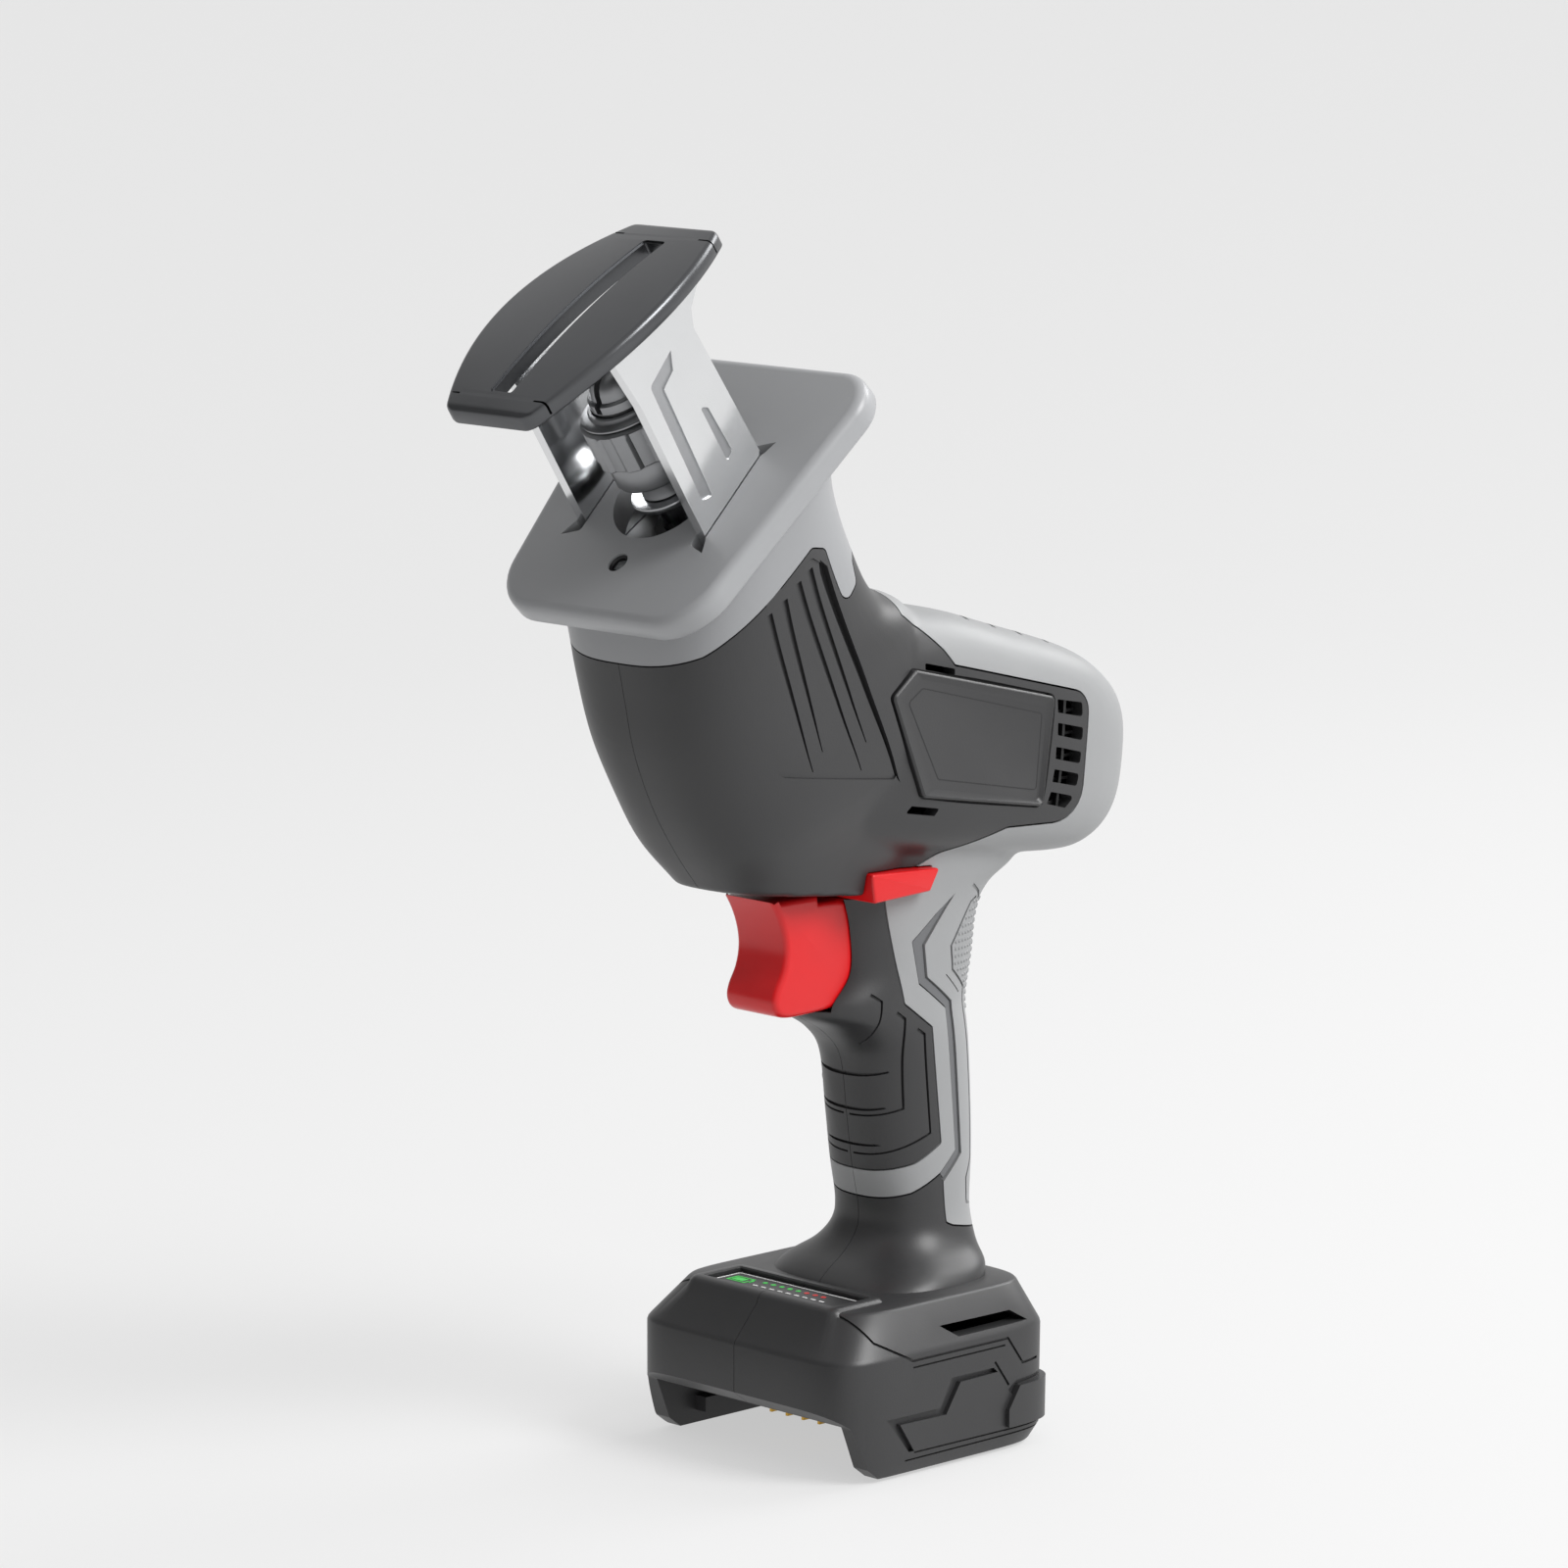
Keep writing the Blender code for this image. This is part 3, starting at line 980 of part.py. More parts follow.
triggerOutline = [(-9.0, TRIGGER_TOP), (-6.6, 144.0), (-4.6, 139.0), (-4.0, 134.0), (-5.2, 129.0),
                  (-8.0, 124.5), (-8.4, 121.0), (-6.4, 118.0), (-2.0, TRIGGER_LOW), (10.0, TRIGGER_LOW + 0.4),
                  (TRIGGER_BACK, TRIGGER_LOW + 1.0), (TRIGGER_BACK, 145.6), (8.0, 145.6), (7.6, TRIGGER_TOP)]
trigger = prism("trigger", triggerOutline, -TRIGGER_HALF_WIDTH, TRIGGER_HALF_WIDTH, SIDE, redPlastic)
triggerRound = trigger.modifiers.new("rounding", "BEVEL")
triggerRound.width = 1.2 * MM
triggerRound.segments = 2
triggerRound.limit_method = "ANGLE"
triggerRound.angle_limit = radians(50)
freeze(trigger)
smooth(trigger, 40)
STEM = ((TRIGGER_BACK + FIT, TRIGGER_BACK + 13.0), (127.0, 133.0))
SWITCH_FRONT = TRIGGER_BACK + TRIGGER_TRAVEL + 1.0
box("switch_stem", (-3, 3), STEM[0], STEM[1], WORLD, greyPlastic)
switch = box("trigger_switch", (-8.5, 8.5), (SWITCH_FRONT, SWITCH_FRONT + 19), (112.5, 140.5),
             WORLD, blackPlastic)
cut(switch, box("switch_bore", (-3 - FIT, 3 + FIT), (SWITCH_FRONT - 2, STEM[0][1] + TRIGGER_TRAVEL + 0.6),
                (STEM[1][0] - FIT, STEM[1][1] + FIT)))
freeze(switch)
lockBar = prism("lock_bar", LOCK_SECTION, -LOCK_REACH + LOCK_TRAVEL, LOCK_REACH, SIDE, redPlastic)


# Battery connector, circuit board and indicator panel

connector = box("battery_connector", *CONNECTOR, (6.5, CHANNEL_HEIGHT - FIT), WORLD, blackPlastic)
join(connector, box("connector_plug", *CONNECTOR_PLUG, (CHANNEL_HEIGHT - 1, FOOT_FLOOR + 1.4)))
freeze(connector)
for i, x in enumerate((-9.0, -3.0, 3.0, 9.0)):
    box(f"battery_blade_{i + 1}", (x - 0.4, x + 0.4), (8.0, CONNECTOR[1][0] - FIT), (7.2, 12.6), WORLD, brass)
box("control_board", (-24, 24), (4.0, 48.0), (FOOT_FLOOR + 1.7, FOOT_FLOOR + 3.3), WORLD, circuitBoard)
box("charge_indicator", *PANEL, (FOOT_DECK - PANEL_DEPTH, FOOT_DECK + 0.3), WORLD, blackPlastic)


# Housing screws, driven in from the right

for screwName, (screwY, screwZ) in SCREW_PLACES.items():
    head = SCREW_TIP - SCREW_LENGTH
    seat = head + SCREW_HEAD_HEIGHT
    turned(screwName, [(0, SCREW_TIP), (SCREW_RADIUS, SCREW_TIP - 1), (SCREW_RADIUS, seat),
                       (SCREW_HEAD, seat), (SCREW_HEAD, head), (0, head)],
           SIDE, darkSteel, 12, at=(screwY, screwZ))


# Moving pieces hang from empties on their joint axes, and everything from one base empty.

def axis_empty(name, frame):
    empty = bpy.data.objects.new(name, None)
    empty.matrix_world = frame
    empty.empty_display_size = 10 * MM
    sawGroup.objects.link(empty)
    return empty


def hang(pieces, empty):
    for name in pieces:
        piece = bpy.data.objects[name]
        piece.parent = empty
        piece.matrix_parent_inverse = empty.matrix_world.inverted()


base = axis_empty("saw_base", WORLD)
crankAxis = axis_empty("crank_axis", CRANK)
motorAxis = axis_empty("motor_axis", MOTOR)
plungerAxis = axis_empty("plunger_axis", BLADE)
sleeveAxis = axis_empty("sleeve_axis", BLADE)
triggerAxis = axis_empty("trigger_axis", Matrix.Translation(Vector((0, 0, 132)) * MM))
lockAxis = axis_empty("lock_axis", Matrix.Translation(Vector((0, 27, 150)) * MM))
hang(["drive_gear", "crank_roller", "gear_axle"], crankAxis)
hang(["motor_pinion", "motor_shaft", "armature", "armature_winding", "commutator", "motor_fan"], motorAxis)
hang(["plunger", "chuck_washer", "blade_clamp", "clamp_ring", "clamp_spring"], plungerAxis)
hang(["clamp_sleeve"], sleeveAxis)
sleeveAxis.parent = plungerAxis
sleeveAxis.matrix_parent_inverse = plungerAxis.matrix_world.inverted()
hang(["trigger", "switch_stem"], triggerAxis)
hang(["lock_bar"], lockAxis)

for piece in [*sawGroup.objects, *cutterGroup.objects]:
    if piece.parent is None and piece is not base:
        piece.parent = base

# The base moves so that the saw's box stands centred on the origin.

bpy.context.view_layer.update()
evaluated = bpy.context.evaluated_depsgraph_get()
points = []
for piece in sawGroup.objects:
    if piece.type != "EMPTY":
        shape = piece.evaluated_get(evaluated)
        points += [piece.matrix_world @ vertex.co for vertex in shape.to_mesh().vertices]
        shape.to_mesh_clear()
middleX = (min(p.x for p in points) + max(p.x for p in points)) / 2
middleY = (min(p.y for p in points) + max(p.y for p in points)) / 2
base.location = (-middleX, -middleY, -min(p.z for p in points))
bpy.context.view_layer.update()
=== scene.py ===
import json
from math import atan2, cos, pi, radians, sin, tan
import bmesh
import bpy
import numpy as np
from mathutils import Matrix, Vector


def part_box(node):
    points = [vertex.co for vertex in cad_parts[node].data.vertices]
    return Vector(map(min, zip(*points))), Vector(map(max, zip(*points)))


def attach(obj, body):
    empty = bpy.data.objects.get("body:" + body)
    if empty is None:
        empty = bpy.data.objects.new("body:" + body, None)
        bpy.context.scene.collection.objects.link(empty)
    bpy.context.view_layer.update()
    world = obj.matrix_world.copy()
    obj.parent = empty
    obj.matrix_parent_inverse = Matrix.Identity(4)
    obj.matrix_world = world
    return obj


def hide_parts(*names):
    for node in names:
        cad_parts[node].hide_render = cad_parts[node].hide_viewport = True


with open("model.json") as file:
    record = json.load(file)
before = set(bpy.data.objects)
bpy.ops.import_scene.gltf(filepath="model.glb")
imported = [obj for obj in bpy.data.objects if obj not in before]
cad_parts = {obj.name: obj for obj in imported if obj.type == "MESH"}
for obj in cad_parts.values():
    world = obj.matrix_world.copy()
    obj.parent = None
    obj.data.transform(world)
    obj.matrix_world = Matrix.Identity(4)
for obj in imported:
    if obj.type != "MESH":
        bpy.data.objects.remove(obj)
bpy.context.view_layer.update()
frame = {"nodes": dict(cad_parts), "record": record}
mm = 0.001
lockBarFront = 15.0  # where the drawing's zero lies, ahead of the lock bar's front edge
sawShift = Vector((0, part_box("lock_bar")[0].y - lockBarFront * mm, 0))


# Frames: sizes are in millimetres from the drawing's zero, y runs back and z up

def frameAlong(y, z, rise):
    direction = Vector((0, -cos(radians(rise)), sin(radians(rise))))
    across = Vector((1, 0, 0))
    turn = Matrix((across, direction.cross(across), direction)).transposed().to_4x4()
    return Matrix.Translation(Vector((0, y, z)) * mm) @ turn


plainFrame = Matrix.Identity(4)
sideFrame = Matrix(((0, 0, 1, 0), (1, 0, 0, 0), (0, 1, 0, 0), (0, 0, 0, 1)))  # y, z across and x out
bladeFrame = frameAlong(4.0, 194.0, 57.0)
guardFrame = frameAlong(-66.0, 227.5, 45.1)
legFrame = bladeFrame @ Matrix(((0, 0, -1, 0), (0, 1, 0, 0), (1, 0, 0, 0), (0, 0, 0, 1)))


# Outlines

def pushed(outline, gap):
    # the closed outline moved outwards by a gap, or inwards by a negative one
    count = len(outline)
    area = sum(outline[i - 1][0] * outline[i][1] - outline[i][0] * outline[i - 1][1] for i in range(count))
    turn = 1 if area > 0 else -1
    points = []
    for i, corner in enumerate(outline):
        here = Vector(corner)
        before = (here - Vector(outline[i - 1])).normalized()
        after = (Vector(outline[(i + 1) % count]) - here).normalized()
        outBefore = Vector((before.y, -before.x)) * turn
        outAfter = Vector((after.y, -after.x)) * turn
        bisector = (outBefore + outAfter).normalized()
        points.append(tuple(here + bisector * gap / max(0.35, bisector.dot(outBefore))))
    return points


def rounded(outline, radii, steps=6):
    points = []
    count = len(outline)
    for i, corner in enumerate(outline):
        radius = radii[i] if isinstance(radii, (list, tuple)) else radii
        here = Vector(corner)
        before = (Vector(outline[i - 1]) - here).normalized()
        after = (Vector(outline[(i + 1) % count]) - here).normalized()
        half = before.angle(after) / 2
        if radius == 0 or half > pi / 2 - 0.02:
            points.append(tuple(here))
            continue
        center = here + (before + after).normalized() * radius / sin(half)
        first = here + before * radius / tan(half) - center
        last = here + after * radius / tan(half) - center
        start = atan2(first.y, first.x)
        sweep = (atan2(last.y, last.x) - start + pi) % (2 * pi) - pi
        for step in range(steps + 1):
            angle = start + sweep * step / steps
            points.append((center.x + radius * cos(angle), center.y + radius * sin(angle)))
    return points


def strip(path, width, endWidth=None):
    # a closed outline along an open path, that may taper towards its end
    endWidth = width if endWidth is None else endWidth
    left, right = [], []
    for i, point in enumerate(path):
        here = Vector(point)
        before = (here - Vector(path[i - 1])).normalized() if i else None
        after = (Vector(path[i + 1]) - here).normalized() if i + 1 < len(path) else None
        before = before or after
        after = after or before
        normal = (Vector((-before.y, before.x)) + Vector((-after.y, after.x))).normalized()
        half = (width + (endWidth - width) * i / (len(path) - 1)) / 2
        half /= max(0.5, normal.dot(Vector((-before.y, before.x))))
        left.append(tuple(here + normal * half))
        right.append(tuple(here - normal * half))
    return left + right[::-1]


# Mesh makers: every piece keeps its place in its mesh

def makePiece(name, points, faces, place=plainFrame):
    mesh = bpy.data.meshes.new(name)
    mesh.from_pydata([sawShift + place @ (Vector(p) * mm) for p in points], [], faces)
    builder = bmesh.new()
    builder.from_mesh(mesh)
    bmesh.ops.recalc_face_normals(builder, faces=builder.faces)
    builder.to_mesh(mesh)
    builder.free()
    piece = bpy.data.objects.new(name, mesh)
    bpy.context.collection.objects.link(piece)
    return piece


def prism(name, outline, low, high, place=sideFrame):
    count = len(outline)
    points = [(x, y, low) for x, y in outline] + [(x, y, high) for x, y in outline]
    sides = [(i, (i + 1) % count, (i + 1) % count + count, i + count) for i in range(count)]
    return makePiece(name, points, [tuple(range(count))[::-1], tuple(range(count, 2 * count)), *sides], place)


def block(name, x, y, z, place=plainFrame):
    return prism(name, [(x[0], y[0]), (x[1], y[0]), (x[1], y[1]), (x[0], y[1])], z[0], z[1], place)


def rod(name, radius, low, high, place=plainFrame, at=(0, 0), steps=48):
    circle = [(at[0] + radius * cos(2 * pi * i / steps), at[1] + radius * sin(2 * pi * i / steps))
              for i in range(steps)]
    return prism(name, circle, low, high, place)


def loft(name, rings, place=plainFrame):
    count = len(rings[0])
    faces = []
    for row in range(len(rings) - 1):
        for i in range(count):
            j = (i + 1) % count
            faces.append((row * count + i, row * count + j, (row + 1) * count + j, (row + 1) * count + i))
    faces.append(tuple(range(count)))
    faces.append(tuple((len(rings) - 1) * count + i for i in range(count)))
    return makePiece(name, [point for ring in rings for point in ring], faces, place)


def lathe(name, profile, place=plainFrame, at=(0, 0), steps=72):
    # profile is (radius, height) pairs round a closed section; zero radius points end on the axis
    points, rows = [], []
    for radius, height in profile:
        if radius == 0:
            rows.append([len(points)] * steps)
            points.append((at[0], at[1], height))
        else:
            rows.append(list(range(len(points), len(points) + steps)))
            points += [(at[0] + radius * cos(2 * pi * i / steps), at[1] + radius * sin(2 * pi * i / steps),
                        height)
                       for i in range(steps)]
    faces = []
    pairs = list(zip(rows, rows[1:])) + ([(rows[-1], rows[0])] if profile[0][0] else [])
    for low, high in pairs:
        for i in range(steps):
            j = (i + 1) % steps
            face = []
            for corner in (low[i], low[j], high[j], high[i]):
                if corner not in face:
                    face.append(corner)
            if len(face) > 2:
                faces.append(tuple(face))
    return makePiece(name, points, faces, place)


def filleted(profile, radius, steps=4):
    # a lathe section with its corners eased, apart from the points on the axis
    return rounded(profile, [0 if point[0] == 0 else radius for point in profile], steps)


def bake(piece):
    bpy.context.view_layer.update()
    shape = piece.evaluated_get(bpy.context.evaluated_depsgraph_get())
    mesh = bpy.data.meshes.new_from_object(shape)
    piece.modifiers.clear()
    piece.data = mesh
    return piece


def carve(piece, *tools, how="DIFFERENCE", spare=False):
    for tool in tools:
        step = piece.modifiers.new("carve", "BOOLEAN")
        step.operation = how
        step.solver = "MANIFOLD"
        step.object = tool
    bake(piece)
    if not spare:
        for tool in tools:
            bpy.data.objects.remove(tool)
    return piece


def copied(piece, name):
    twin = bpy.data.objects.new(name, piece.data.copy())
    bpy.context.collection.objects.link(twin)
    return twin


def gathered(name, parts):
    # separate closed parts as one mesh, so that they carve in one go
    builder = bmesh.new()
    for part in parts:
        builder.from_mesh(part.data)
        bpy.data.objects.remove(part)
    mesh = bpy.data.meshes.new(name)
    builder.to_mesh(mesh)
    builder.free()
    piece = bpy.data.objects.new(name, mesh)
    bpy.context.collection.objects.link(piece)
    return piece


def sunk(form, name, depth):
    # the form with its surface moved inwards by a depth
    twin = copied(form, name)
    count = len(twin.data.vertices)
    places, normals = np.zeros(count * 3, np.float32), np.zeros(count * 3, np.float32)
    twin.data.vertices.foreach_get("co", places)
    twin.data.vertex_normals.foreach_get("vector", normals)
    twin.data.vertices.foreach_set("co", places - normals * depth * mm)
    twin.data.update()
    return twin


def eased(piece, angle=35):
    piece.data.shade_smooth()
    piece.data.set_sharp_from_angle(angle=radians(angle))
    return piece


def finished(piece, look, body, slotName, *nodes, angle=35):
    eased(piece, angle)
    piece.data.materials.clear()
    piece.data.materials.append(look)
    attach(piece, body)
    if nodes:
        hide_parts(*nodes)
    return piece


# Camera: a long lens, a little above the saw and to its left

view = {"turn": 46.0, "rise": 9.45, "lens": 155.25, "distance": 1742.5, "aimHeight": 176.9, "shift": 0.00725}
aim = sawShift + Vector((0, 0, view["aimHeight"])) * mm
towards = Vector((sin(radians(view["turn"])) * cos(radians(view["rise"])),
                  -cos(radians(view["turn"])) * cos(radians(view["rise"])), sin(radians(view["rise"]))))
lens = bpy.data.cameras.new("camera")
lens.lens = view["lens"]
lens.shift_x = view["shift"]
camera = bpy.data.objects.new("camera", lens)
camera.location = aim + towards * view["distance"] * mm
camera.rotation_euler = towards.to_track_quat("Z", "Y").to_euler()
bpy.context.collection.objects.link(camera)
bpy.context.scene.camera = camera


# Materials

def linear(hexColour):
    parts = [int(hexColour[i:i + 2], 16) / 255 for i in (1, 3, 5)]
    return (*[p / 12.92 if p <= 0.04045 else ((p + 0.055) / 1.055) ** 2.4 for p in parts], 1.0)


def addNode(tree, kind, settings=None, links=None):
    # settings are attributes or input values, links are input name: output socket
    node = tree.nodes.new(kind)
    for key, value in (settings or {}).items():
        if isinstance(key, str) and hasattr(node, key):
            setattr(node, key, value)
        else:
            node.inputs[key].default_value = value
    for key, socket in (links or {}).items():
        tree.links.new(socket, node.inputs[key])
    return node


def finish(name, colour, roughness, metallic=0.0, grain=None, patches=None, scratches=None, **sockets):
    # grain: (millimetres between bumps, height in mm). patches: (millimetres, colour spread, roughness spread).
    # scratches: (width in mm, stretch along Z, height in mm)
    look = bpy.data.materials.new(name)
    look.use_nodes = True
    tree = look.node_tree
    shader = tree.nodes["Principled BSDF"]
    shader.inputs["Base Color"].default_value = linear(colour)
    shader.inputs["Roughness"].default_value = roughness
    shader.inputs["Metallic"].default_value = metallic
    for key, value in sockets.items():
        shader.inputs[key].default_value = value
    where = addNode(tree, "ShaderNodeTexCoord").outputs["Object"]
    if patches:
        size, spread, roughSpread = patches
        cloud = addNode(tree, "ShaderNodeTexNoise", {"Scale": 1 / (size * mm), "Detail": 4.0},
                        {"Vector": where})
        tint = addNode(tree, "ShaderNodeMix", {"data_type": "RGBA"}, {0: cloud.outputs["Fac"]})
        base = linear(colour)
        tint.inputs[6].default_value = (*[c * (1 - spread) for c in base[:3]], 1)
        tint.inputs[7].default_value = (*[min(1, c * (1 + spread)) for c in base[:3]], 1)
        tree.links.new(tint.outputs[2], shader.inputs["Base Color"])
        sheen = addNode(tree, "ShaderNodeMapRange", {"To Min": max(0.02, roughness - roughSpread),
                                                     "To Max": min(1, roughness + roughSpread)},
                        {"Value": cloud.outputs["Fac"]})
        tree.links.new(sheen.outputs["Result"], shader.inputs["Roughness"])
    relief = None
    if grain:
        size, height = grain
        pits = addNode(tree, "ShaderNodeTexNoise", {"Scale": 1 / (size * mm), "Detail": 2.0}, {"Vector": where})
        relief = addNode(tree, "ShaderNodeBump", {"Strength": 0.6, "Distance": height * mm},
                         {"Height": pits.outputs["Fac"]})
    if scratches:
        size, stretch, height = scratches
        run = addNode(tree, "ShaderNodeMapping", {"Scale": (1 / (size * mm), 1 / (size * mm),
                                                            1 / (size * mm * stretch))},
                      {"Vector": where})
        lines = addNode(tree, "ShaderNodeTexNoise", {"Scale": 1.0, "Detail": 3.0},
                        {"Vector": run.outputs["Vector"]})
        links = {"Height": lines.outputs["Fac"]}
        if relief:
            links["Normal"] = relief.outputs["Normal"]
        relief = addNode(tree, "ShaderNodeBump", {"Strength": 0.5, "Distance": height * mm}, links)
    if relief:
        tree.links.new(relief.outputs["Normal"], shader.inputs["Normal"])
    return look


# Glass-filled nylon, spark-eroded mould: a dull dark grey with a fine even grain
nylonDark = finish("mouldedNylonDark", "#2e2e2f", 0.4, grain=(0.45, 0.03), patches=(14, 0.06, 0.05))
# The same nylon, polished where the tool has no texture
nylonBlack = finish("mouldedNylonBlack", "#1b1b1c", 0.38, grain=(0.5, 0.02), patches=(10, 0.08, 0.05))
# Soft thermoplastic rubber moulded over the nylon: light grey, satin, slightly cloudy
rubberGrey = finish("overmouldRubberGrey", "#8e8f90", 0.46, grain=(0.5, 0.02), patches=(18, 0.03, 0.06))
rubberMid = finish("overmouldRubberMid", "#606163", 0.5, grain=(0.5, 0.02), patches=(12, 0.04, 0.05))
# ABS collar and flange cap, moulded satin
absGrey = finish("mouldedAbsGrey", "#8d8e90", 0.36, grain=(0.6, 0.012), patches=(22, 0.03, 0.05))
absFlange = finish("mouldedAbsFlange", "#97989a", 0.36, grain=(0.6, 0.012), patches=(22, 0.03, 0.05))
# Acetal in red, half gloss from the mould
acetalRed = finish("mouldedAcetalRed", "#cc0f14", 0.3, grain=(0.8, 0.008), patches=(9, 0.05, 0.05))
# Stamped steel plate, tumbled and blued: dark satin metal with a fine brushed run
steelBlued = finish("bluedSteelPlate", "#5c5d5f", 0.3, 1.0, patches=(16, 0.1, 0.06),
                    scratches=(0.3, 30, 0.0015))
steelRim = finish("groundSteelRim", "#b9babc", 0.24, 1.0, patches=(9, 0.06, 0.05), scratches=(0.3, 20, 0.0015))
# Nickel plated strip: near mirror with a trace of the rolling direction
nickelBright = finish("platedNickel", "#e4e5e6", 0.16, 1.0, patches=(12, 0.04, 0.04),
                      scratches=(0.4, 40, 0.0003))
# The same strip where the press has dulled it, and darker in colour: painted shade in the pressed hollows
nickelPressedDullAndShaded = finish("pressedNickelDullAndShaded", "#a9aaac", 0.42, 1.0, patches=(5, 0.06, 0.05), grain=(0.4, 0.002))
# Turned and phosphated steel of the clamp
steelTurned = finish("turnedSteel", "#939496", 0.42, 1.0, patches=(6, 0.1, 0.06),
                     scratches=(0.35, 0.06, 0.0008))
steelDark = finish("phosphatedSteel", "#3c3d3f", 0.36, 1.0, patches=(6, 0.12, 0.06), grain=(0.3, 0.008))
brassPlain = finish("stampedBrass", "#c9a04a", 0.28, 1.0, patches=(5, 0.08, 0.05), scratches=(0.2, 0.1, 0.003))
copperDrawn = finish("drawnCopper", "#b8683e", 0.32, 1.0, patches=(5, 0.1, 0.05), scratches=(0.3, 0.1, 0.006))
castZinc = finish("dieCastAlloy", "#9b9c9d", 0.5, 1.0, patches=(8, 0.08, 0.06), grain=(0.7, 0.03))
boardGreen = finish("solderMaskGreen", "#1c5a34", 0.4, grain=(0.8, 0.01), patches=(6, 0.1, 0.05))
carbonBlock = finish("pressedCarbon", "#202021", 0.6, grain=(0.3, 0.02), patches=(3, 0.1, 0.05))
rubberBlack = finish("mouldedRubberBlack", "#171718", 0.7, grain=(0.4, 0.02), patches=(4, 0.1, 0.05))
lampClear = finish("mouldedLensClear", "#dfe3e6", 0.08, patches=(3, 0.02, 0.02),
                   **{"Transmission Weight": 0.85})
inkWhite = finish("printWhite", "#e9e9e9", 0.5, patches=(3, 0.02, 0.05))
inkGreen = finish("printGreen", "#35c749", 0.45, patches=(3, 0.04, 0.05))
inkRed = finish("printRed", "#d3221f", 0.45, patches=(3, 0.04, 0.05))
print("materials made")


# Outer form: sections are (front, back, half width, squareness, flare)

def guardPoint(along, depth):
    point = guardFrame @ (Vector((0, along, depth)) * mm)
    return (point.y / mm, point.z / mm)


body = {
    "plate": 7.8, "guardLength": 84.5, "collarInset": 5.0, "collarHalf": 36.5, "wall": 2.6,
    "footHalf": 41.0, "footFront": -14.0, "footBack": 66.0, "deck": 42.3,
    "voxel": 1.1, "blend": 7, "seam": 0.5, "split": 0.16,
}
noseSections = [
    (guardPoint(body["collarInset"], 0), guardPoint(body["guardLength"] - body["collarInset"], 0), 36.9, 2.7,
     0.1),
    (guardPoint(body["collarInset"], -body["plate"]),
     guardPoint(body["guardLength"] - body["collarInset"], -body["plate"]), body["collarHalf"], 2.7, 0.1),
    ((-54.5, 216.0), (1.0, 261.0), 33.5, 2.8, 0.05),
    ((-52.0, 205.0), (9.5, 244.0), 31.5, 3.0, 0.0),
    ((-48.5, 190.0), (20.0, 229.0), 30.5, 3.0, 0.0),
    ((-42.0, 175.0), (36.0, 221.5), 29.5, 3.0, 0.0),
    ((-34.0, 162.5), (50.0, 192.0), 27.5, 3.2, 0.0),
    ((-26.0, 152.5), (36.0, 145.5), 18.0, 3.0, 0.0),
]
barrelSections = [
    ((0.0, 160.0), (8.0, 223.0), 26.0, 4.0, 0.0),
    ((35.0, 155.5), (41.0, 220.5), 28.5, 4.0, 0.0),
    ((60.0, 153.0), (67.0, 213.5), 28.5, 4.0, 0.0),
    ((84.0, 150.5), (91.0, 206.0), 27.8, 4.0, 0.0),
    ((97.0, 150.5), (104.0, 199.5), 25.5, 3.5, 0.0),
    ((107.0, 155.0), (111.5, 193.5), 21.0, 3.0, 0.0),
    ((112.5, 166.0), (114.7, 186.0), 13.5, 2.5, 0.0),
]
handleSections = [
    ((12.0, 165.0), (88.0, 165.0), 20.5, 2.6, 0.0),
    ((12.0, 151.0), (83.0, 151.0), 18.5, 2.6, 0.0),
    ((13.5, 145.0), (73.0, 145.0), 17.5, 2.6, 0.0),
    ((15.5, 138.0), (67.5, 138.0), 17.0, 2.6, 0.0),
    ((16.0, 126.0), (65.3, 126.0), 17.0, 2.6, 0.0),
    ((8.0, 116.5), (64.0, 115.0), 17.0, 2.5, 0.0),
    ((18.0, 109.5), (64.0, 109.0), 17.0, 2.5, 0.0),
    ((24.5, 102.0), (64.3, 102.0), 17.0, 2.5, 0.0),
    ((27.0, 86.0), (65.0, 86.0), 17.0, 2.5, 0.0),
    ((29.0, 72.0), (65.0, 72.0), 17.0, 2.5, 0.0),
    ((31.5, 60.0), (64.0, 60.0), 17.0, 2.5, 0.0),
    ((30.5, 54.0), (64.5, 54.0), 18.0, 2.5, 0.0),
    ((26.0, 49.0), (64.3, 49.0), 21.0, 2.6, 0.0),
    ((20.0, 45.0), (63.5, 45.0), 26.0, 2.8, 0.0),
    ((16.0, 40.8), (61.0, 40.8), 28.0, 3.0, 0.0),
    ((16.0, 34.0), (60.0, 34.0), 28.0, 3.0, 0.0),
]
footHalf, footFront, footBack = body["footHalf"], body["footFront"], body["footBack"]
footSections = [
    ((footFront + 0.9, 0.0), (footBack - 3.9, 0.0), footHalf - 1.1, 7.0, 0.0),
    ((footFront + 0.5, 0.5), (footBack - 3.5, 0.5), footHalf - 0.7, 7.0, 0.0),
    ((footFront, 4.0), (footBack - 0.5, 4.0), footHalf, 7.0, 0.0),
    ((footFront, 30.6), (footBack, 30.6), footHalf, 7.0, 0.0),
    ((footFront + 0.25, 31.4), (footBack - 0.1, 31.4), footHalf - 0.2, 7.0, 0.0),
    ((footFront + 0.8, 32.2), (footBack - 0.3, 32.2), footHalf - 0.7, 7.0, 0.0),
    ((footFront + 9.2, 41.6), (footBack - 2.9, 41.6), footHalf - 6.1, 6.0, 0.0),
    ((footFront + 9.8, 42.1), (footBack - 3.3, 42.1), footHalf - 6.6, 6.0, 0.0),
    ((footFront + 10.6, 42.3), (footBack - 3.9, 42.3), footHalf - 7.3, 6.0, 0.0),
]


